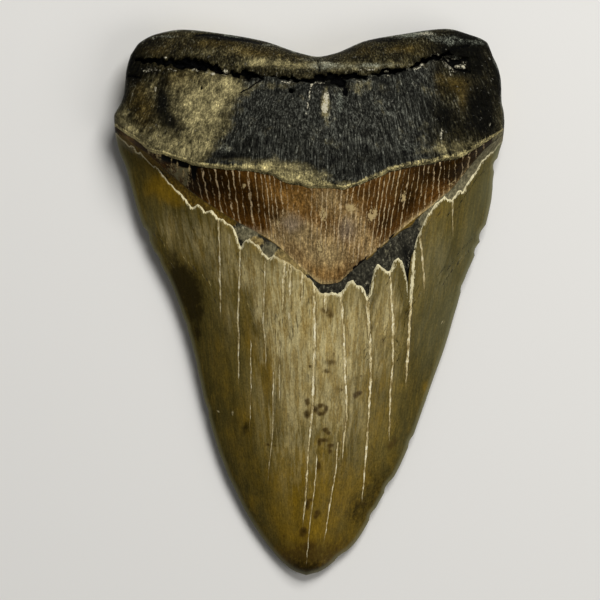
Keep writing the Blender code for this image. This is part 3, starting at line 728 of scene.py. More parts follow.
paint(
    "dark", on_dentine,
    (26.6, 8.8, 1.1, 8.1, 0.95), (25.2, 14.2, 1.4, 3.2, 0.6), (15.3, 3.4, 1.1, 2.2, 0.6),
    (8.2, 3.1, 3.2, 1.1, 0.5), (-18.8, 17.4, 1.1, 2.2, 0.5), (16.9, 6.6, 1.1, 2.7, 0.4),
    (-50.6, 44.4, 3.8, 1.9, 0.5), (50.9, 44.4, 2.4, 2.4, 0.3),
)
paint(
    "chalk_and_glint", on_dentine,
    (-17.7, 20.1, 1.4, 0.5, 0.6), (-15.5, 18.0, 2.2, 0.5, 0.5), (-12.8, 15.0, 0.8, 1.1, 0.5),
    (26.6, 10.9, 0.5, 3.2, 0.5), (26.9, 3.9, 0.4, 2.2, 0.6), (27.1, 16.9, 0.8, 1.4, 0.5),
    (15.3, 5.3, 0.8, 1.1, 0.5), (5.5, 3.4, 2.7, 0.4, 0.4),
)

# The dentine's colours, as a colour chart gives them.
BARE_BLACK, GRIT_GREY, WEDGE_BLACK = (47, 45, 36), (126, 122, 100), (10, 10, 8)
GREY_FILM, TAN_FILM, LIGHT_FILM, DENTINE_CHALK = (104, 98, 74), (90, 71, 26), (132, 114, 70), (190, 180, 150)


def dentine_finish():
    stone = Finish("bared dentine", BARE_BLACK)
    pits, grit = stone.noise(0.7, 2.0, 11, 4.0, 0.7), stone.noise(0.6, 0.9, 12, 4.0, 0.75)
    stone.mottle(pits, 1.25)
    stone.mottle(grit, 1.2)
    stone.cover(stone.between(grit, 0.56, 0.7), GRIT_GREY, 0.36)
    stone.cover_patch("dark", pits, 1.8, 0.2, 0.9, WEDGE_BLACK)
    worn = stone.scale(pits, 0.5, stone.scale(grit, 0.5, -0.5))
    for name, low, high, colour in (
        ("grey_film", 0.3, 0.6, GREY_FILM), ("pale", 0.35, 0.7, TAN_FILM), ("warm", 0.35, 0.7, LIGHT_FILM),
    ):
        stone.cover(stone.between(stone.plus(stone.read(name), worn), low, high), colour)
    stone.mottle(pits, 1.4)
    stone.mottle(grit, 1.5)
    stone.cover_patch("chalk_and_glint", grit, 1.4, 0.3, 0.8, DENTINE_CHALK)
    stone.gloss(pits, 0.4, 0.6)
    return stone.done(grit, 0.12, 0.03)


# ---------------------------------------------------------------------------------------------
# The bourlette. A V-shaped band of thin, brown, once gum-bound tissue between crown and root. Fine
# lengthways cracks, 1.3 to 1.8 mm apart, run down it, and pale silt lies in them and in patches.
# ---------------------------------------------------------------------------------------------

BOURLETTE = (LEVEL > DENTINE_END - JUST) & (LEVEL < ROOT_FOOT + JUST)
# The cracks are counted from the middle: (X, cracks up to there).
CRACK_COUNT = ((-52.0, -31.5), (0.0, 0.0), (22.0, 15.5), (37.0, 27.0), (52.0, 35.5))
# How far each crack leans sideways for each millimetre down: (X, lean to the right).
LEAN = (
    (-52.0, 0.3), (-32.0, 0.22), (-13.0, 0.13), (0.0, 0.0), (24.0, -0.18), (32.0, -0.1), (38.0, 0.0),
    (52.0, 0.0),
)
LINES_START, LINES_END, LINES_SOFTNESS = -36.5, 47.0, 0.4
# Towards the tip of the V the cracks fade out: (X, Y halfway).
LINES_FADE = ((-25.0, 14.0), (-10.0, 17.0), (0.0, 15.0), (10.0, 14.0), (16.0, 8.0), (20.0, 0.0))
FADE_LENGTH, FADE_WANDER = 4.0, 6.0
STRIPE_DRIFT, STRIPE_WOBBLE = 1.2, 0.4  # in cracks
LINE_DEPTH, LINE_WIDTH, BAND_ROUGHNESS = 0.14, 0.12, 0.22

below_root = np.clip(root_edge(X) - Y, 0, 40)
lines_fan = X - below_root * curve_through(LEAN)(X)
stripe = read_straight(CRACK_COUNT, lines_fan)
stripe = stripe + STRIPE_DRIFT * (rough(lines_fan, 0 * Y, 6.0, 1.0, 75, 2) - 0.5)
stripe = stripe + STRIPE_WOBBLE * (rough(X, Y, 4.0, 9.0, 76, 3) - 0.5)
fade_y = read_straight(LINES_FADE, X) - FADE_WANDER * (rough(X, Y, 2.5, 5.0, 87) - 0.5)
line_shows = smooth_step(-FADE_LENGTH, FADE_LENGTH, Y - fade_y)
line_shows = line_shows * smooth_step(-LINES_SOFTNESS, LINES_SOFTNESS, X - LINES_START)
line_shows = line_shows * smooth_step(LINES_SOFTNESS, -LINES_SOFTNESS, X - LINES_END)
nearest_line = np.abs(stripe - np.floor(stripe) - 0.5)
line_groove = LINE_DEPTH * line_shows * np.exp(-((nearest_line / LINE_WIDTH) ** 2))
height -= np.where(BOURLETTE, line_groove, 0.0)
height -= np.where(BOURLETTE, BAND_ROUGHNESS * rough(X, Y, 2.5, 5.0, 77), 0.0)

on_bourlette = BOURLETTE * 1.0
# Black bites in the lower edge of the band, where the tissue has broken away over the wedge.
BITE_SIZE, BITES_START, BITES_END = 0.9, (5.0, 9.0), (30.0, 24.0)
SILT_REACH, SILT_START, SILT_END = 1.0, (-22.0, -8.0), (46.0, 38.0)
above_edge = Y - bourlette_edge(X)
bites = np.exp(-((above_edge / BITE_SIZE) ** 2)) * smooth_step(*BITES_START, X) * smooth_step(*BITES_END, X)
bites = bites * smooth_step(0.46, 0.62, rough(X, Y, 1.6, 1.6, 78, 3))
stains_and_light["stain_and_shade"] = np.maximum(stains_and_light["stain_and_shade"], bites * on_bourlette)
# Silt lies along the lower edge of the band, except at its far left.
edge_silt = np.exp(-(above_edge / SILT_REACH)) * smooth_step(*SILT_START, X) * smooth_step(*SILT_END, X)
edge_silt = edge_silt * (0.3 + 0.9 * rough(X, Y, 3.0, 3.0, 79)) * (1 - bites)
stains_and_light["pale"] = np.maximum(stains_and_light["pale"], 1.2 * edge_silt * on_bourlette)
# Dark patches on the band; along its top, under the root's lip, they are partly painted shadow of the lip.
paint(
    "dark", on_bourlette,
    (-25.5, 32.5, 9.2, 7.0, 0.8), (-30.4, 34.2, 2.4, 4.3, 0.9), (-16.1, 26.3, 4.9, 5.9, 0.5),
    (-9.6, 23.4, 3.2, 3.8, 0.4), (35.2, 35.8, 11.9, 4.9, 0.85), (25.8, 27.7, 5.4, 7.0, 0.6),
    (15.0, 29.8, 6.5, 4.3, 0.4), (20.4, 20.9, 3.8, 4.9, 0.5), (46.0, 40.6, 4.9, 2.7, 0.9),
    (-38.2, 39.0, 3.8, 2.4, 1.0), (-47.9, 45.5, 7.0, 1.9, 0.35), (-42.0, 41.2, 3.8, 2.2, 0.7),
    (-30.9, 35.0, 1.1, 2.4, 0.9), (50.6, 43.3, 4.3, 2.4, 0.95), (42.0, 37.9, 5.4, 2.7, 0.7),
    (-52.8, 46.6, 3.2, 2.4, 0.5), (-45.2, 43.3, 3.5, 2.2, 0.6), (52.8, 46.3, 3.2, 2.4, 1.0),
)
paint(
    "warm", on_bourlette,
    (-48.5, 44.1, 7.0, 2.7, 0.9), (-2.6, 28.2, 9.7, 4.9, 0.9), (-12.0, 30.4, 4.9, 3.8, 0.5),
    (9.6, 26.3, 8.1, 5.4, 0.6), (24.4, 31.7, 10.8, 5.4, 0.5), (2.3, 8.8, 7.0, 4.3, 1.1),
)
paint(
    "pale", on_bourlette,
    (-2.6, 18.2, 6.5, 5.4, 0.8), (5.5, 12.6, 7.0, 4.9, 0.75), (10.9, 21.7, 5.9, 5.4, 0.6),
    (-6.6, 20.9, 4.3, 3.8, 0.5), (5.0, 27.7, 5.4, 4.1, 0.7), (-34.4, 35.2, 2.2, 2.7, 0.85),
    (3.4, 13.6, 7.0, 5.9, 0.5), (-39.8, 38.5, 1.1, 2.2, 0.4), (15.0, 15.5, 3.8, 4.9, 0.5),
    (-10.7, 16.9, 3.8, 2.2, 0.6),
)
paint(
    "chalk_and_glint", on_bourlette,
    (2.8, 14.2, 1.2, 4.1, 1.0), (3.4, 23.4, 1.1, 2.4, 0.8), (16.6, 23.9, 1.4, 2.7, 1.0),
    (10.7, 25.2, 2.4, 1.9, 0.7), (25.0, 28.5, 0.8, 1.9, 0.85), (10.7, 28.8, 1.1, 1.1, 0.5),
    (-17.7, 31.2, 0.8, 0.8, 0.6), (-16.3, 29.0, 0.4, 2.2, 0.5), (-8.5, 21.5, 0.8, 1.4, 0.6),
    (-14.7, 28.2, 0.8, 0.8, 0.5), (-11.7, 27.7, 0.4, 0.8, 0.5), (6.9, 26.3, 0.8, 1.6, 0.4),
    (18.5, 16.9, 0.8, 3.2, 0.4), (11.5, 10.9, 2.7, 0.8, 0.4), (-42.0, 42.0, 0.8, 1.4, 0.6),
    (29.8, 29.0, 0.4, 2.2, 0.5), (-0.7, 20.1, 0.5, 2.7, 0.4), (-25.5, 34.2, 0.4, 0.8, 0.4),
    (-43.2, 41.2, 0.4, 1.4, 1.3), (-42.1, 40.9, 0.3, 1.5, 1.3), (-41.0, 40.4, 0.4, 1.6, 1.3),
    (-40.1, 39.8, 0.3, 1.4, 1.2), (-37.1, 37.7, 0.2, 1.6, 1.0), (-35.5, 36.9, 0.2, 1.1, 0.9),
    (-32.3, 35.8, 0.2, 1.9, 1.0), (38.2, 31.9, 0.9, 0.6, 0.9), (39.8, 32.8, 1.1, 0.6, 0.9),
    (41.2, 34.2, 0.5, 0.8, 0.8), (-38.2, 36.9, 0.3, 1.6, 0.5), (-36.9, 35.5, 0.4, 1.1, 0.6),
    (-35.5, 35.0, 0.5, 1.6, 0.65), (-33.9, 33.9, 0.5, 2.2, 0.65), (-32.5, 32.5, 0.4, 1.6, 0.5),
)
# At its right end, and in a patch near its left end, the band is greyed over.
paint(
    "rime_and_sheen", on_bourlette,
    (50.6, 43.9, 2.2, 3.2, 0.8), (52.8, 46.6, 3.2, 3.8, 1.3), (54.4, 48.2, 2.7, 3.2, 1.3),
    (-35.2, 34.7, 4.3, 3.2, 1.2), (-33.3, 32.3, 1.1, 2.2, 0.9), (-40.4, 38.5, 1.9, 1.4, 0.6),
)
# Gaps under the root's lip, where the tissue has fallen out, painted black as the shade in them.
paint(
    "stain_and_shade", on_bourlette,
    (-39.0, 39.6, 1.6, 1.9, 1.0), (-36.0, 38.1, 2.4, 1.1, 1.0), (-33.1, 37.0, 2.4, 1.1, 1.0),
    (-30.9, 35.2, 0.9, 2.7, 1.0), (-28.5, 36.3, 2.2, 0.7, 0.5), (-38.2, 36.3, 0.7, 0.8, 0.5),
)

# The band's colours, as a colour chart gives them.
BAND_BROWN, BAND_TAN, BAND_DARK, BAND_PALE = (84, 54, 17), (122, 90, 44), (34, 20, 2), (148, 127, 86)
PURPLE_GREY, LINE_SILT, BAND_BLOOM, GAP_BLACK_AND_SHADE = (108, 94, 78), (178, 156, 118), (112, 106, 76), (7, 6, 4)
SILT_PATCH = (180, 158, 110)


def bourlette_finish():
    band = Finish("brown bourlette", BAND_BROWN)
    drip, grit = band.noise(0.7, 6.0, 21, 3.0, 0.6), band.noise(0.45, 0.6, 22, 3.0, 0.8)
    blotch = band.noise(2.6, 3.6, 23, 4.0, 0.65)
    soft = band.scale(grit, 0.5, band.times(blotch, 0.5))
    band.cover_patch("warm", blotch, 0.7, 0.1, 1.0, BAND_TAN, 0.85)
    band.cover_patch("dark", blotch, 0.6, 0.0, 0.75, BAND_DARK)
    band.cover_patch("pale", soft, 1.2, 0.05, 1.05, BAND_PALE)
    band.cover_patch("grey_film", soft, 1.2, 0.25, 0.9, PURPLE_GREY, 0.8)
    band.mottle(drip, 1.4)
    band.mottle(blotch, 1.15)

    # The cracks: each has its own strength, and its silt lies in beads and breaks off here and there.
    place = band.plus(band.read("stripe"), band.scale(band.noise(1.2, 3.0, 24, 4.0), 0.9, -0.45))
    each = band.add("ShaderNodeTexWhiteNoise", noise_dimensions="1D")
    band.feed(each.inputs["W"], band.calculate("FLOOR", place))
    own = band.scale(each.outputs["Value"], 0.2, -0.1)
    bead = band.scale(own, 0.4, band.scale(band.noise(0.8, 1.6, 25, 3.0, 0.8), 0.6, -0.25))
    offset = band.calculate("ABSOLUTE", band.calculate("SUBTRACT", band.calculate("FRACT", place), 0.5))
    line = band.between(band.calculate("SUBTRACT", offset, bead), 0.06, -0.05)
    broken = band.between(band.plus(band.noise(1.6, 7.0, 26, 4.0, 0.7), own), 0.27, 0.48)
    band.cover(band.times(line, band.times(broken, band.read("crack_shows"))), LINE_SILT, 0.9)
    band.mottle(grit, 1.4)

    greyed = band.times(band.read("rime_and_sheen"), band.scale(soft, 5.0, band.scale(drip, 4.0, -3.5)))
    band.cover(band.between(greyed, 0.4, 1.3), BAND_BLOOM)
    # Black in the bites and in the gaps under the lip; in the gaps it is painted shade.
    band.cover(band.between(band.read("stain_and_shade"), 0.25, 0.6), GAP_BLACK_AND_SHADE)
    silt = band.times(band.read("chalk_and_glint"), band.scale(soft, 14.0, -6.2))
    band.cover(band.between(silt, 0.3, 0.75), SILT_PATCH, 0.9)
    band.gloss(blotch, 0.3, 0.5)
    return band.done(grit, 0.05, 0.02)


# ---------------------------------------------------------------------------------------------
# The root. Porous, fibrous bone-like tissue, charcoal with beige and ochre patches. A deep crack
# crosses it just below the lobes, with pits beside it, and its lower lip steps down to the bourlette.
# ---------------------------------------------------------------------------------------------

ROOT = LEVEL > ROOT_FOOT + JUST
LONG_CRACK = (
    (-46.6, 65.2), (-42.8, 65.2), (-40.6, 64.5), (-38.5, 64.7), (-35.2, 64.5), (-30.6, 64.4), (-28.5, 63.9),
    (-26.3, 63.0), (-24.4, 62.2), (-22.5, 61.7), (-20.4, 61.2), (-17.4, 61.2), (-13.9, 60.6), (-9.9, 60.6),
    (-5.3, 60.3), (0.1, 59.5), (3.6, 60.6), (7.4, 60.2), (10.9, 60.1), (15.0, 60.6), (18.2, 61.4),
    (22.3, 62.0), (25.5, 62.8), (28.2, 64.0), (30.9, 64.7), (33.9, 65.7), (36.9, 66.8),
)
# (X, half the crack's width).
LONG_CRACK_WIDTH = (
    (-47.0, 0.05), (-44.5, 0.6), (-41.0, 1.1), (-37.0, 1.5), (-31.0, 1.6), (-28.0, 1.3), (-25.5, 1.2),
    (-23.8, 0.7), (-22.8, 0.08), (-21.6, 0.08), (-20.6, 0.9), (-17.0, 1.0), (-13.0, 0.65), (-8.0, 0.5),
    (-1.0, 0.45), (3.0, 0.85), (9.0, 0.9), (15.0, 0.5), (24.0, 0.5), (30.0, 0.5), (33.0, 0.9), (37.0, 0.6),
    (38.5, 0.05),
)
LONG_CRACK_DEPTH = 2.3
# Pits: X, Y, half width, half length and depth.
PITS = (
    (-4.9, 56.8, 1.1, 0.8, 2.4), (8.8, 58.7, 2.2, 1.9, 2.0), (-28.9, 57.6, 0.4, 0.9, 0.9),
    (6.3, 59.5, 1.2, 1.1, 1.4), (2.8, 62.8, 0.4, 1.4, 0.8), (-30.8, 59.3, 0.3, 0.8, 0.5),
    (-32.5, 60.3, 0.3, 0.7, 0.5), (-29.7, 59.0, 0.3, 0.8, 0.5), (9.6, 56.8, 1.2, 1.9, 1.4),
    (3.4, 60.1, 1.1, 0.8, 1.2), (42.5, 59.3, 0.4, 0.4, 0.7), (36.9, 60.9, 0.4, 0.5, 0.7),
)
# Finer cracks: half width, depth, how dark, and their points.
SEAMS = (
    (0.25, 0.4, 0.85, (-12.6, 60.1), (-14.4, 59.0), (-16.1, 57.6), (-18.5, 56.3)),
    (0.25, 0.6, 0.9, (2.3, 64.9), (2.8, 62.2)),
    (0.3, 0.6, 0.9, (-49.5, 60.6), (-47.7, 60.9), (-45.5, 60.3)),
    # Along the top of the left lobe: a shallow groove whose black is partly painted shadow.
    (0.45, 0.35, 0.7, (-30.6, 72.0), (-25.5, 72.0), (-19.3, 70.9), (-12.8, 69.5)),
    (0.3, 0.7, 0.8, (35.2, 66.3), (38.5, 68.2), (42.8, 69.0)),
    (0.35, 0.9, 0.9, (36.0, 65.5), (39.3, 62.8), (43.3, 62.0)),
)
# A patch of broken blocks at the right end of the long crack.
RUBBLE_X, RUBBLE_Y, RUBBLE_WIDE, RUBBLE_LONG, RUBBLE_DEPTH = 39.8, 64.9, 4.6, 3.8, 1.3
LAST_CRUMB = 38.0
CLOSED = 0.06  # a crack narrower than this is shut
CRACK_WAVES, CRACK_JAGS = 0.9, 0.7
LIP_WAVES, LIP_JAGS = 1.4, 0.9
CRUMB_PLACE, CRUMB_SIZE = 0.5, 0.45

crack_above = Y - read_straight(LONG_CRACK, X) - CRACK_WAVES * (rough(X, 0 * X, 3.2, 1.0, 90, 3) - 0.5)
crack_above = crack_above - CRACK_JAGS * (grain(X, 0 * X, 0.9, 1.0, 94) - 0.5)
ragged = LIP_WAVES * (rough(X, Y, 2.6, 2.2, 91) - 0.5) + LIP_JAGS * (grain(X, Y, 0.8, 0.7, 92) - 0.5)
crack_half = read_straight(LONG_CRACK_WIDTH, X)
inside_crack = 1 - smooth_step(0.55, 1.15, (np.abs(crack_above) + ragged) / crack_half)
inside_crack = inside_crack * (crack_half > CLOSED)
bits = smooth_step(0.54, 0.66, rough(X, Y, 1.5, 1.1, 96, 2)) * (0.35 + 0.65 * smooth_step(-18.0, -8.0, X))
cut = LONG_CRACK_DEPTH * inside_crack * (0.7 + 0.6 * rough(X, Y, 2.0, 1.0, 93)) * (1 - 0.6 * bits)
# Black is painted into the crack, pits, seams and rubble, standing in for the shade deep in them.
stain_and_shade = inside_crack * (1 - 0.8 * bits)
for x, y, wide, long, depth in PITS:
    far = np.hypot((X - x + 0.25 * wander_x) / wide, (Y - y + 0.25 * wander_y) / long)
    far = far + 1.2 * (rough(X, Y, 1.4, 1.4, 89, 3) - 0.5)
    bowl = 1 - smooth_step(0.35, 1.05, far)
    cut = np.maximum(cut, depth * bowl)
    stain_and_shade = np.maximum(stain_and_shade, bowl * min(1.0, 0.3 + 0.6 * depth))
for half, depth, shade, *path in SEAMS:
    line = np.exp(-((path_distance(X + 0.3 * wander_x, Y + 0.3 * wander_y, path) / half) ** 2))
    cut = np.maximum(cut, depth * line)
    stain_and_shade = np.maximum(stain_and_shade, shade * line)
rubble = np.exp(-1.5 * (((X - RUBBLE_X) / RUBBLE_WIDE) ** 2 + ((Y - RUBBLE_Y) / RUBBLE_LONG) ** 2))
blocks = smooth_step(0.42, 0.6, rough(X, Y, 2.6, 1.8, 95, 3))
cut = np.maximum(cut, RUBBLE_DEPTH * rubble * blocks)
stain_and_shade = np.maximum(stain_and_shade, 0.8 * rubble * blocks)

# Broken crumbs lie along the lower lip of the crack, and their white is also painted glint.
lower_lip = np.exp(-(((crack_above + crack_half + CRUMB_PLACE) / CRUMB_SIZE) ** 2)) * (crack_half > CLOSED)
crumbs_and_glints = lower_lip * smooth_step(0.52, 0.7, rough(X, Y, 1.7, 1.1, 88, 3)) * (X < LAST_CRUMB)

# The fibres fan out, as if from a point this far above the root's edge.
FIBRE_FAN = 160.0
FIBRE_DEPTH, DIMPLE_DEPTH, GRIT_DEPTH, PORE_DEPTH = 0.16, 0.6, 0.16, 0.4
fibre_fan = X / (1 + (root_edge(X) - Y) / FIBRE_FAN)
porous = smooth_step(0.35, 0.7, rough(X, Y, 8.0, 8.0, 101))
pores = smooth_step(0.62, 0.8, grain(X, Y, 0.75, 1.1, 100)) * porous
root_relief = FIBRE_DEPTH * rough(fibre_fan, Y, 0.9, 9.0, 97, 2) + DIMPLE_DEPTH * rough(X, Y, 5.5, 8.0, 98)
root_relief = root_relief + GRIT_DEPTH * grain(X, Y, 0.7, 0.9, 99) + PORE_DEPTH * pores
height -= np.where(ROOT, root_relief * smooth_step(0.0, RIM_CALM, TO_OUTLINE) + cut, 0.0)

# Charcoal tissue fills the middle of the root, and a browner tissue its left part and its lobes.
CHARCOAL_START = ((-25.0, 41.2), (-17.1, 59.0))
CHARCOAL_FADES, CHARCOAL_THINS = 33.1, 0.75
(low_x, low_y), (high_x, high_y) = CHARCOAL_START
start_x = low_x + (Y - low_y) * (high_x - low_x) / (high_y - low_y)
charcoal = smooth_step(-2.6, 2.2, X - start_x + 2.4 * wander_x)
charcoal = charcoal * (1 - CHARCOAL_THINS * smooth_step(-5.0, 5.0, X - CHARCOAL_FADES + 2 * wander_x))
charcoal = charcoal * smooth_step(0.4, -0.4, Y - root_crack(X))

on_root = ROOT * 1.0
stains_and_light["chalk_and_glint"] = np.where(ROOT, 0.6 * np.maximum(crumbs_and_glints, 0.75 * bits * inside_crack), stains_and_light["chalk_and_glint"])
paint(
    "pale", on_root,
    (-28.8, 50.4, 7.3, 8.1, 0.95), (-30.1, 42.0, 5.9, 3.5, 0.85), (-47.9, 46.6, 4.9, 2.4, 0.6),
    (-43.1, 43.6, 3.8, 2.2, 0.6), (-51.4, 50.1, 2.2, 3.2, 0.6), (-32.3, 56.8, 6.5, 4.9, 0.8),
    (-40.9, 43.3, 5.4, 3.2, 0.7), (-49.8, 50.9, 2.4, 3.8, 0.5), (-22.0, 58.5, 4.3, 2.7, 0.9),
    (-39.0, 47.1, 3.2, 4.3, 0.3), (-25.8, 54.7, 5.9, 5.4, 0.8), (4.3, 53.3, 1.1, 4.3, 1.2),
    (17.7, 63.3, 9.2, 1.1, 0.6), (2.8, 63.9, 6.5, 1.4, 0.5), (-33.3, 39.6, 5.4, 2.4, 0.8),
    (-23.6, 67.1, 10.3, 1.9, 0.35), (-11.2, 64.4, 9.2, 1.4, 0.85), (-2.6, 63.3, 5.4, 1.1, 0.45),
    (6.9, 62.8, 4.9, 1.1, 0.4), (51.4, 51.4, 1.4, 7.0, 0.35), (23.1, 64.1, 8.1, 1.1, 0.5),
    (10.9, 63.9, 3.8, 1.4, 0.5), (-37.7, 68.7, 6.5, 1.9, 0.2), (-6.9, 35.5, 8.1, 1.9, 1.3),
    (-0.4, 33.6, 5.4, 1.4, 1.0), (-14.4, 37.7, 5.4, 1.4, 0.6), (32.5, 40.6, 6.5, 1.6, 0.4),
    (40.1, 42.0, 6.5, 1.9, 0.5), (-20.1, 38.5, 3.8, 0.8, 0.5), (15.8, 57.9, 8.1, 2.2, 0.3),
    (-8.0, 58.5, 5.9, 1.4, 0.4), (29.8, 56.8, 4.9, 2.7, 0.2), (10.9, 32.0, 4.9, 0.8, 0.5),
    (-18.2, 56.8, 3.8, 2.2, 0.5), (-43.1, 57.4, 2.2, 3.8, 0.35), (-49.0, 41.2, 2.2, 1.1, 0.3),
    (31.2, 45.2, 4.9, 3.2, 0.3), (5.5, 41.2, 3.8, 2.7, 0.15),
)
paint(
    "warm", on_root,
    (-33.9, 59.0, 4.9, 3.8, 0.8), (-45.8, 54.7, 4.3, 7.6, 0.5), (25.0, 68.2, 5.9, 1.9, 0.6),
    (14.2, 67.6, 3.2, 1.6, 0.45), (40.1, 58.5, 4.9, 2.7, 0.85), (35.2, 59.0, 1.9, 4.3, 0.6),
    (-25.5, 69.8, 9.2, 1.9, 0.6), (-16.1, 67.1, 8.1, 1.6, 0.7), (-43.6, 49.3, 3.2, 6.5, 0.4),
    (41.4, 54.7, 1.4, 3.8, 0.6), (36.9, 65.5, 2.7, 2.7, 0.2), (-40.4, 68.2, 5.4, 2.2, 0.5),
    (-29.6, 43.9, 6.5, 5.4, 0.25), (-2.6, 65.5, 8.1, 2.2, 0.3), (-28.8, 59.0, 5.9, 2.2, 0.5),
)
paint(
    # Black and dark patches on the root; those along the top rim of the lobes are painted shadow.
    "dark", on_root,
    (-39.6, 53.6, 1.9, 5.4, 0.95), (-36.9, 47.7, 2.2, 2.7, 0.6), (43.3, 64.9, 6.5, 5.4, 0.9),
    (47.1, 52.5, 3.8, 7.6, 0.85), (37.9, 67.6, 4.9, 2.7, 0.8), (37.1, 49.3, 3.8, 4.3, 0.7),
    (5.0, 59.0, 6.5, 1.6, 0.8), (-21.5, 39.3, 6.5, 1.4, 0.85), (-47.4, 60.6, 3.2, 3.8, 0.75),
    (8.2, 39.0, 10.8, 3.8, 0.45), (24.4, 38.5, 5.4, 2.7, 0.3), (-43.1, 70.3, 5.9, 2.4, 0.6),
    (-20.9, 71.4, 11.9, 1.4, 0.9), (-10.7, 49.3, 7.0, 7.0, 0.25), (43.3, 70.9, 10.3, 3.2, 0.95),
    (20.4, 70.9, 8.1, 1.1, 0.8), (-39.0, 59.5, 1.6, 2.2, 0.5), (-48.5, 66.0, 3.8, 4.9, 0.85),
    (-43.1, 62.5, 4.3, 2.2, 0.7), (-30.4, 57.9, 1.6, 1.6, 0.5), (-28.2, 59.5, 2.4, 1.1, 0.4),
    (51.4, 57.4, 1.6, 8.1, 0.6), (-51.2, 54.7, 2.4, 9.2, 0.6), (10.9, 68.2, 5.4, 1.1, 0.6),
    (0.1, 56.8, 3.2, 1.6, 0.5), (-49.8, 55.8, 1.1, 3.8, 0.5), (-32.3, 43.9, 1.4, 2.4, 0.35),
    (-2.6, 67.6, 8.1, 0.8, 0.5), (42.5, 46.6, 4.3, 2.7, 0.5), (50.4, 62.8, 2.2, 6.5, 0.6),
    (17.7, 63.9, 10.8, 0.5, 0.4), (29.3, 51.4, 3.2, 5.4, 0.3), (-37.9, 49.3, 1.6, 2.4, 0.7),
    (35.2, 49.8, 4.3, 4.9, 0.5), (39.3, 65.5, 8.1, 3.8, 0.6), (-29.6, 66.0, 10.8, 1.4, 0.3),
    (48.2, 47.1, 2.7, 5.4, 0.6), (45.5, 52.5, 3.8, 6.5, 0.7),
)
paint(
    "chalk_and_glint", on_root,
    (0.4, 57.9, 0.4, 1.6, 0.6), (0.0, 55.5, 0.4, 1.9, 0.75), (-0.5, 52.8, 0.4, 1.6, 0.8),
    (-0.9, 50.4, 0.4, 1.1, 0.7), (4.2, 52.0, 1.1, 2.2, 1.0), (4.6, 55.2, 0.9, 2.2, 0.85),
    (8.5, 51.7, 0.6, 1.1, 0.5), (8.5, 58.7, 0.8, 0.8, 0.5), (-37.4, 49.0, 0.3, 0.8, 0.7),
    (35.5, 45.0, 0.6, 2.4, 0.75), (39.3, 43.9, 0.6, 1.6, 0.5), (48.5, 47.9, 0.5, 1.6, 0.6),
    (-41.4, 57.4, 0.6, 1.6, 0.6), (-22.5, 61.7, 1.2, 1.1, 0.85), (-28.8, 63.2, 1.4, 0.5, 0.6),
    (-43.1, 63.0, 3.0, 1.2, 0.42), (-40.4, 62.0, 2.4, 1.4, 0.4), (-29.8, 62.8, 2.4, 0.8, 0.45),
    (-27.7, 61.7, 1.1, 1.1, 0.5), (-25.2, 61.2, 2.2, 0.8, 0.45), (11.5, 61.2, 3.8, 0.8, 0.42),
    (5.5, 63.9, 1.4, 2.2, 0.4), (40.1, 63.9, 4.9, 2.4, 0.4), (33.6, 66.3, 1.6, 0.7, 0.65),
    (30.1, 63.9, 1.0, 0.5, 0.8), (41.4, 63.3, 0.6, 0.4, 0.6), (37.9, 64.9, 5.4, 3.2, 0.4),
    (31.2, 72.2, 4.9, 0.8, 0.6), (20.4, 71.4, 3.2, 0.5, 0.4), (3.6, 64.4, 1.6, 0.9, 0.5),
    (15.8, 62.5, 7.0, 0.8, 0.55), (23.4, 63.6, 4.9, 0.8, 0.45), (21.5, 47.7, 0.6, 1.6, 0.4),
    (-38.7, 65.9, 0.8, 0.5, 0.7), (-44.1, 62.2, 1.6, 0.6, 0.5), (-0.9, 46.0, 0.4, 1.1, 0.4),
    (-4.7, 59.0, 1.6, 0.5, 0.4), (-4.5, 54.7, 0.5, 0.9, 0.6), (-16.6, 55.2, 0.5, 0.8, 0.4),
    (-23.6, 43.9, 0.5, 1.9, 0.4), (-5.8, 52.5, 0.4, 1.6, 0.35), (37.4, 52.5, 0.4, 1.4, 0.4),
    (37.9, 61.2, 0.5, 1.1, 0.5), (-27.9, 43.9, 0.5, 1.6, 0.3), (-49.0, 60.6, 1.9, 0.4, 0.5),
)

# A whitish crust in thin scales, over the lobes and above the long crack; along the lobes' top edge
# it is also a painted highlight.
paint(
    "rime_and_sheen", on_root,
    (27.7, 72.0, 8.1, 1.4, 0.9), (16.9, 63.6, 9.2, 1.1, 0.9), (4.2, 63.6, 7.0, 1.6, 0.9),
    (37.9, 70.3, 7.0, 1.6, 0.7), (38.5, 64.9, 6.5, 3.8, 0.4), (8.0, 53.1, 0.9, 3.0, 1.1),
    (-20.9, 71.7, 9.2, 0.8, 0.6), (-40.4, 71.7, 8.1, 0.8, 0.6), (-50.9, 60.6, 0.8, 5.9, 0.6),
    (-10.7, 69.3, 4.3, 0.8, 0.6), (0.1, 65.5, 6.5, 0.8, 0.5), (26.6, 41.7, 7.0, 3.2, 0.5),
    (-2.6, 37.4, 10.8, 2.7, 0.35), (-22.8, 41.2, 3.8, 3.2, 0.5), (45.5, 69.8, 4.9, 1.6, 0.4),
    (5.5, 55.8, 6.5, 3.2, 0.35), (-13.4, 56.0, 4.3, 2.7, 0.4), (-47.9, 57.9, 2.7, 2.7, 0.4),
)

# The root's colours, as a colour chart gives them.
ROOT_BROWN, CHARCOAL, FIBRE_GREY, COMB_GREY = (34, 30, 15), (33, 33, 28), (92, 94, 86), (88, 89, 80)
OCHRE, BEIGE, ROOT_BLACK_AND_SHADE, CRUST_AND_HIGHLIGHT = (72, 59, 25), (134, 124, 86), (4, 4, 2), (112, 115, 102)
LIP_BEIGE, RIM_HIGHLIGHT_GREY, CRUMB_WHITE_AND_GLINT, PAINTED_SPARKLE_GREY = (
    (158, 146, 100), (112, 114, 103), (188, 181, 156), (154, 152, 138),
)
VOID_SHADE_BLACK = (2, 2, 2)


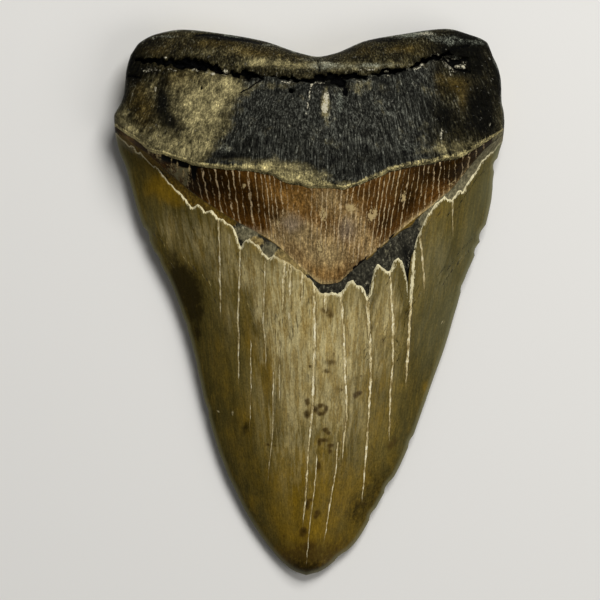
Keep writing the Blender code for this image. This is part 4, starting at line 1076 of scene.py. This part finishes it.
def root_finish():
    bone = Finish("brown root", ROOT_BROWN)
    fibre, grit = bone.noise(0.45, 3.0, 31, 4.0, 0.75), bone.noise(0.5, 0.6, 32, 4.0, 0.8)
    blotch, spots = bone.noise(3.0, 3.6, 33, 6.0, 0.72), bone.noise(0.7, 1.0, 34, 2.0, 0.6)
    glint, thin = bone.noise(0.4, 0.5, 35, 1.0), bone.noise(0.45, 22.0, 36, 2.0, 0.6)
    bone.cover_patch("grey_film", blotch, 1.0, 0.1, 0.9, CHARCOAL)
    bone.mottle(fibre, 2.5)
    bone.cover(bone.between(fibre, 0.55, 0.72), FIBRE_GREY, 0.5)
    bone.cover(bone.times(bone.between(thin, 0.54, 0.64), bone.read("grey_film")), COMB_GREY, 0.5)
    bone.cover_patch("warm", blotch, 1.0, 0.05, 1.05, OCHRE, 0.85)
    bone.cover_patch("pale", blotch, 1.5, 0.1, 1.2, BEIGE)
    # Black patches, and along the lobes' top rim a painted shadow.
    bone.cover_patch("dark", blotch, 1.2, 0.1, 0.85, ROOT_BLACK_AND_SHADE, 0.95)
    # Crust in scales, and along the lobes' top edge a painted highlight.
    crust_and_highlight = bone.times(bone.times(bone.read("rime_and_sheen"), bone.times(blotch, 2.0)), bone.scale(grit, 3.0, -0.5))
    bone.cover(bone.between(crust_and_highlight, 0.35, 1.15), CRUST_AND_HIGHLIGHT, 0.75)
    lip = bone.times(bone.read("lip"), bone.times(blotch, 2.8))
    lip = bone.plus(bone.plus(lip, bone.scale(grit, 1.2, -0.6)), bone.scale(fibre, 2.2, -1.1))
    bone.cover(bone.between(lip, 0.4, 1.5), LIP_BEIGE)
    # A painted rim highlight, grey, along the root's outline.
    bone.cover(bone.between(bone.scale(blotch, -2.4, bone.read("outline")), -0.75, -1.35), RIM_HIGHLIGHT_GREY, 0.45)
    for noise, contrast in ((fibre, 1.35), (blotch, 1.6), (grit, 1.8)):
        bone.mottle(noise, contrast)
    # White crumbs and silt, with painted glints among them and along the lobes' top edge.
    bone.cover(bone.between(bone.times(bone.read("chalk_and_glint"), glint), 0.22, 0.38), CRUMB_WHITE_AND_GLINT)
    # Painted sparkle: small grey-white specks standing in for glints on the glossy bone.
    bone.cover(bone.between(spots, 0.67, 0.74), PAINTED_SPARKLE_GREY, 0.36)
    # Painted shade: black deep in the cracks, pits and seams.
    void = bone.plus(bone.read("stain_and_shade"), bone.scale(glint, 0.9, -0.45))
    bone.cover(bone.between(void, 0.3, 0.6), VOID_SHADE_BLACK)
    bone.gloss(bone.between(grit, 0.4, 0.6), 0.6, 0.4)
    return bone.done(bone.plus(grit, fibre), 0.2, 0.03)


# ---------------------------------------------------------------------------------------------
# The labial face, which the tooth lies on. Enamel reaches further up on this side and meets the
# root at a shallow neck, with no bourlette. Its relief only goes inwards, so the face stays flat.
# ---------------------------------------------------------------------------------------------

LABIAL_COLUMN_STEP, LABIAL_ROW_STEP = 3, 2
LABIAL_FLAT, LABIAL_ROUNDNESS = 0.5, 1.8  # the share of the crown's half-width that is flat
LABIAL_TIP_RISE = (-52.0, 22.0)
LABIAL_SAG = 15.0
NECK_DEPTH, NECK_SPREAD = 0.7, 1.6
HOLLOW_DEPTH, HOLLOW_PLACE, HOLLOW_SIZE = 2.0, (0.0, 52.0), (20.0, 15.0)
# How far the tissues have grown at each level of the loft: crown, enamel's edge, neck, root.
TISSUE_LEVELS = ((0, 2, 4, 9), (0, 2, 3, 8))
NECK_LEVEL, ROOT_FULL = 3.0, 5.0

rows = slice(0, None, LABIAL_ROW_STEP)
columns = slice(0, None, LABIAL_COLUMN_STEP)
row_y = Y[rows, columns]
back_level = LEVEL[rows, columns]
tissue = np.interp(back_level, *TISSUE_LEVELS)
back_share = share[columns]
brow = Y[np.argmin(np.abs(LEVEL[:, 0] - ROOT_BROW)), columns]
brow_sag = brow[0] + (brow[-1] - brow[0]) * back_share - brow
straight = row_y[:, :1] + (row_y[:, -1:] - row_y[:, :1]) * back_share
grown = (row_y[:, :1] - TIP_Y) / (brow[0] - TIP_Y)
deepest = brow[0] - brow.min()
sag = LABIAL_SAG + (deepest - LABIAL_SAG) * smooth_step(1.0, ROOT_FULL, tissue)
back_y = np.where(tissue >= ROOT_FULL, row_y, straight - sag * grown * brow_sag / deepest)
back_x = X[rows, columns]
back_outline = path_distance(back_x, back_y, outline_path())


def labial_height(x, y, tissue, to_outline):
    """Height of the labial face above the surface that the tooth lies on, before its fine relief."""
    rim = rim_height(y)
    sideways = np.clip((np.abs(across(x, y)) - LABIAL_FLAT) / (1 - LABIAL_FLAT), 0, 1)
    sideways = sideways**LABIAL_ROUNDNESS
    start, length = LABIAL_TIP_RISE
    tipwards = np.clip((start - y) / length, 0, 1) ** 2
    crown = rim * np.maximum(sideways, tipwards)
    root = rim * (1 - rounding(to_outline, LABIAL_ROUNDING))
    far = ((x - HOLLOW_PLACE[0]) / HOLLOW_SIZE[0]) ** 2 + ((y - HOLLOW_PLACE[1]) / HOLLOW_SIZE[1]) ** 2
    root = root + HOLLOW_DEPTH * np.maximum(0, 1 - far) ** 2
    weight = smooth_step(2.0, ROOT_FULL, tissue)
    neck = NECK_DEPTH * np.maximum(0, 1 - ((tissue - NECK_LEVEL) / NECK_SPREAD) ** 2) * (1 - sideways)
    return crown + (root - crown) * weight + neck


back_height = labial_height(back_x, back_y, tissue, back_outline)
BACK_DIMPLES, BACK_FIBRES, BACK_COMBING = 0.45, 0.25, 0.1
inner = smooth_step(0.0, RIM_CALM, back_outline)
root_side = smooth_step(NECK_LEVEL, NECK_LEVEL + 0.5, tissue)
back_relief = BACK_DIMPLES * rough(back_x, back_y, 6.0, 7.0, 121)
back_relief = back_relief + BACK_FIBRES * rough(back_x, back_y, 1.6, 4.0, 122)
back_height += inner * root_side * back_relief
back_height += inner * (1 - root_side) * BACK_COMBING * grain(back_x, back_y, 1.2, 24.0, 123)

# Long drying cracks in the labial enamel: X at the top and at the bottom, Y at both, width.
LABIAL_CRACKS = (
    (-27.0, 30.0, -18.0, -18.0, 0.2), (-15.5, 27.0, -10.5, -35.0, 0.25), (-4.0, 26.0, -3.0, -8.0, 0.2),
    (3.5, 26.0, 2.0, -52.0, 0.3), (12.5, 27.0, 9.0, -24.0, 0.25), (22.0, 28.0, 16.0, -6.0, 0.2),
    (33.0, 31.0, 26.0, 2.0, 0.2), (-36.0, 33.0, -30.0, 6.0, 0.2),
)
BACK_WOBBLE, BACK_CRACK_REACH = 0.8, 2.2
back_crack, back_shows = np.full_like(back_x, WIDEST), np.zeros_like(back_x)
back_gap = np.full_like(back_x, NO_CRACK)
for number, (top_x, top_y, foot_x, foot_y, half) in enumerate(LABIAL_CRACKS):
    f = (back_y - foot_y) / (top_y - foot_y)
    wobble = BACK_WOBBLE * (rough(back_y, 0 * back_y, 9.0, 1.0, 130 + number) - 0.5)
    gap = back_x - (foot_x + (top_x - foot_x) * np.clip(f, 0, 1) + wobble)
    here = (np.abs(gap) < np.abs(back_gap)) & (f > 0)
    back_gap[here] = gap[here]
    back_crack[here] = np.clip(gap / half, -WIDEST, WIDEST)[here]
    back_shows[here] = (smooth_step(0, 0.2, f) * (np.abs(gap) < BACK_CRACK_REACH))[here]


# ---------------------------------------------------------------------------------------------
# The whole tooth. Both faces are sewn along the cutting edges, the shoulders and the lobes, and
# each point carries its stains, painted shade and sheen, cracks and growth lines for the finishes to read.
# ---------------------------------------------------------------------------------------------

height[:, [0, -1]] = rim_height(Y[:, [0, -1]])
height[-1] = rim_height(Y[-1])
# The crown's flanks are painted darker on both faces: partly a darker olive, partly painted shade where they
# turn from the light.
LEFT_FLANK, RIGHT_FLANK = 0.7, 0.6  # how dark the flanks of the crown are
flank_tone_and_shade = LEFT_FLANK * smooth_step(0.4, 0.95, -across(X, Y)) * (1 - 0.7 * smooth_step(-5.0, 25.0, Y))
flank_tone_and_shade = flank_tone_and_shade + RIGHT_FLANK * smooth_step(0.5, 0.95, across(X, Y))
ENAMEL_FAN, FAN_BASE = 330.0, 10.0  # the enamel's growth lines would meet this far below this height


def enamel_fan(x, y):
    return x / (1 + (y - FAN_BASE) / ENAMEL_FAN)


growth_x = np.where(ENAMEL, enamel_fan(X, Y), np.where(BOURLETTE, lines_fan, fibre_fan))
LIP_START, LIP_DULLS, LIP_DULLNESS = 1.2, (6.0, 14.0), 0.3
# How broad the pale lip along the root's lower edge is: (X, millimetres).
LIP_BREADTH = (
    (-52.6, 0.3), (-30.0, 0.5), (-18.0, 1.3), (-14.0, 2.6), (-4.0, 3.9), (2.0, 2.4), (7.0, 0.5),
    (12.0, 0.5), (18.0, 1.0), (30.0, 1.1), (44.0, 1.0), (50.0, 0.2),
)
lip = np.clip(LIP_START - (Y - root_edge(X)) / curve_through(LIP_BREADTH)(X), 0, 1) * ROOT
lip = lip * (1 - LIP_DULLNESS * smooth_step(*LIP_DULLS, X))
# The grey film on the bared dentine and the bourlette; on the root the same value is its charcoal.
FILM_START = (27.0, 33.0)
FILM_PATCHES = (
    (-16.9, 18.5, 4.3, 2.7, 0.85), (-10.7, 13.9, 3.0, 2.4, 0.8), (21.2, 13.6, 3.8, 3.8, 0.35),
    (-4.7, 20.9, 4.6, 3.5, 0.8), (9.9, 19.6, 3.5, 4.6, 0.8),
)
grey_film = np.where(BOURLETTE, 0.0, smooth_step(*FILM_START, X))
for x, y, wide, long, strength in FILM_PATCHES:
    grey_film = np.maximum(grey_film, strength * np.exp(-(((X - x) / wide) ** 2) - ((Y - y) / long) ** 2))
grey_film = np.where(ROOT, charcoal, grey_film)

# What the finishes read at each point of the lingual face, and at each point of the labial face.
front = {
    **stains_and_light, "stain_and_shade": np.maximum(stain_and_shade * ROOT, stains_and_light["stain_and_shade"]),
    "flank_tone_and_shade": flank_tone_and_shade, "lip": lip, "grey_film": grey_film,
    "crack": crack_offset, "crack_shows": np.where(BOURLETTE, line_shows, crack_shows), "stripe": stripe,
    "edge_gap": edge_reach, "edge_shows": edge_shows, "outline": np.minimum(TO_OUTLINE, FAR),
}
back_across = across(back_x, back_y)
cloudy = rough(back_x, back_y, 22.0, 30.0, 141)
# The labial crown is paler down its middle, partly a painted sheen like the lingual one.
back_centre = 0.6 * np.exp(-((back_across / 0.5) ** 2))
back = {name: np.zeros_like(back_x) for name in front}
back.update({
    "pale": np.where(tissue > NECK_LEVEL, smooth_step(0.5, 0.62, cloudy), back_centre),
    "warm": smooth_step(0.5, 0.7, rough(back_x, back_y, 14.0, 20.0, 142)),
    "dark": smooth_step(0.6, 0.72, rough(back_x, back_y, 10.0, 12.0, 143)),
    "flank_tone_and_shade": smooth_step(0.5, 0.95, np.abs(back_across)), "crack": back_crack, "crack_shows": back_shows,
    "edge_gap": np.clip((tissue - NECK_LEVEL) * 4, -FAR, FAR), "edge_shows": np.full_like(back_x, 0.5),
    "outline": np.minimum(back_outline, FAR),
})
LABIAL_SHIFT = 60.0  # so that the labial face has noise of its own
front_growth = np.stack([growth_x, Y, height], axis=-1)
back_growth = np.stack([enamel_fan(back_x, back_y), back_y, back_height - LABIAL_SHIFT], axis=-1)

# Point 0 is the tip, then come the points of the lingual face and the labial ones inside the rim.
row_count, column_count = X.shape
front_index = 1 + np.arange(row_count * column_count).reshape(row_count, column_count)
back_index = front_index[rows, columns].copy()
inside = np.zeros(back_index.shape, bool)
inside[:-1, 1:-1] = True
back_index[inside] = 1 + row_count * column_count + np.arange(inside.sum())
front_grid = np.stack([X, Y, height], axis=-1)
back_grid = np.stack([back_x, back_y, back_height], axis=-1)
tip = (LEFT_SIDE[0][1], TIP_Y, rim_height(TIP_Y))
points = np.concatenate([[tip], front_grid.reshape(-1, 3), back_grid[inside]])


def spread(places):
    """Where each row and column falls on the unrolled face, from its lengths along the surface."""
    along = np.linalg.norm(np.diff(places, axis=0), axis=2).mean(axis=1)
    wide = np.linalg.norm(np.diff(places, axis=1), axis=2)
    v = np.concatenate([[0.0], np.cumsum(along)]) + 1.0
    u = np.concatenate([np.zeros((len(places), 1)), np.cumsum(wide, axis=1)], axis=1)
    u = u - u[:, -1:] / 2
    return u / (2 * np.abs(u).max()), np.broadcast_to((v / v[-1])[:, None], u.shape)


ISLAND_WIDTH, ISLAND_HEIGHT, MARGIN = 0.47, 0.96, 0.02
FRONT_MIDDLE, BACK_MIDDLE = 0.25, 0.75
faces, finishes, unrolled = [], [], []


def add_face(corners, zone):
    faces.append([int(index) for index, place in corners])
    unrolled.extend(place for index, place in corners)
    finishes.append(zone)


def lay_out(places, index, middle, zones, facing, row_step=1, column_step=1):
    """The faces of one side, from the tip up, with the rim's own points sewn into its outer faces."""
    u, v = spread(places)
    layout = np.stack([middle + ISLAND_WIDTH * u, MARGIN + ISLAND_HEIGHT * v], axis=-1)
    last_row, last_column = index.shape[0] - 1, index.shape[1] - 1

    def along_rim(a, b):
        """The rim's points from corner a up to corner b, or corner a alone inside the face."""
        on_side = a[1] == b[1] and a[1] in (0, last_column)
        steps = row_step if on_side else column_step if a[0] == b[0] == last_row else 1
        for k in range(steps):
            f = k / steps
            row = round(a[0] * row_step + (b[0] - a[0]) * row_step * f)
            column = round(a[1] * column_step + (b[1] - a[1]) * column_step * f)
            known = index[a] if k == 0 else front_index[row, column]
            yield known, tuple(layout[a] * (1 - f) + layout[b] * f)

    for j in range(last_column):
        fan = [(0, (middle, MARGIN))] + [(index[0, k], tuple(layout[0, k])) for k in (j + 1, j)]
        add_face(fan[::facing], zones[0])
        for i in range(last_row):
            ring = [(i, j), (i, j + 1), (i + 1, j + 1), (i + 1, j)]
            corners = [point for a, b in zip(ring, ring[1:] + ring[:1]) for point in along_rim(a, b)]
            add_face(corners[::facing], zones[i + 1])


# The finish of each row: 0 enamel, 1 bared dentine, 2 bourlette, 3 root.
zone_ends = (ENAMEL_END, DENTINE_END, ROOT_FOOT)
front_zones = [int(zone) for zone in np.searchsorted(zone_ends, LEVEL[:, 0] - JUST)]
lay_out(front_grid, front_index, FRONT_MIDDLE, front_zones, 1)
back_zones = [0 if level < NECK_LEVEL + JUST else 3 for level in tissue[:, 0]]
lay_out(back_grid, back_index, BACK_MIDDLE, back_zones, -1, LABIAL_ROW_STEP, LABIAL_COLUMN_STEP)

mesh = bpy.data.meshes.new("tooth_surface")
mesh.from_pydata(points * METRES, [], faces)
for finish in (enamel_finish, dentine_finish, bourlette_finish, root_finish):
    mesh.materials.append(finish())
mesh.polygons.foreach_set("material_index", finishes)
mesh.uv_layers.new(name="OFBake").data.foreach_set("uv", np.array(unrolled).ravel())
for name in front:
    values = np.concatenate([front[name][:1, 0], front[name].ravel(), back[name][inside]])
    mesh.attributes.new(name, "FLOAT", "POINT").data.foreach_set("value", values)
values = np.concatenate([front_growth[:1, 0], front_growth.reshape(-1, 3), back_growth[inside]])
mesh.attributes.new("growth", "FLOAT_VECTOR", "POINT").data.foreach_set("vector", values.ravel())
mesh.shade_smooth()
tooth = bpy.data.objects.new("fossil_tooth", mesh)
bpy.context.scene.collection.objects.link(tooth)
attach(tooth, "root")
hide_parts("tooth")

# ---------------------------------------------------------------------------------------------
# The table, the light and the camera. A pale matt table, a soft lamp high up beyond the root, a
# weaker one to the right and a faint white sky, and the camera straight above the tooth, far away
# so that nothing leans.
# ---------------------------------------------------------------------------------------------

TABLE_SIZE, TABLE_DROP = 3.0, 0.0001
TABLE_COLOUR, TABLE_ROUGHNESS = (226, 224, 219), 0.7
# Each lamp: its place, its size and its power.
KEY_LAMP = ((0.35, 0.75, 1.0), 0.6, 15.0)
FILL_LAMP = ((0.9, -0.3, 0.9), 0.8, 4.5)
SKY_STRENGTH = 0.13
CAMERA_PLACE, CAMERA_LENS, CAMERA_SENSOR, CAMERA_REACH = (-0.002565, 0.000675, 2.0), 443.0, 36.0, 10.0

bpy.ops.mesh.primitive_plane_add(size=TABLE_SIZE, location=(0, 0, -TABLE_DROP))
table = bpy.context.object
table.name = "table"
table_paint = Finish("pale table", TABLE_COLOUR)
table_paint.feed(table_paint.shader.inputs["Base Color"], table_paint.skin)
table_paint.shader.inputs["Roughness"].default_value = TABLE_ROUGHNESS
table.data.materials.append(table_paint.material)

for name, (place, size, power) in (("key_lamp", KEY_LAMP), ("fill_lamp", FILL_LAMP)):
    lamp = bpy.data.lights.new(name, "AREA")
    lamp.size, lamp.energy = size, power
    holder = bpy.data.objects.new(name, lamp)
    holder.location = place
    holder.rotation_euler = (-Vector(place)).to_track_quat("-Z", "Y").to_euler()
    bpy.context.scene.collection.objects.link(holder)

sky = bpy.data.worlds.new("soft sky")
sky.use_nodes = True
sky.node_tree.nodes["Background"].inputs["Color"].default_value = (1.0, 1.0, 1.0, 1.0)
sky.node_tree.nodes["Background"].inputs["Strength"].default_value = SKY_STRENGTH
bpy.context.scene.world = sky
bpy.context.scene.view_settings.view_transform = "Standard"

camera = bpy.data.cameras.new("camera")
camera.lens, camera.sensor_width, camera.clip_end = CAMERA_LENS, CAMERA_SENSOR, CAMERA_REACH
holder = bpy.data.objects.new("camera", camera)
holder.location = CAMERA_PLACE
bpy.context.scene.collection.objects.link(holder)
bpy.context.scene.camera = holder
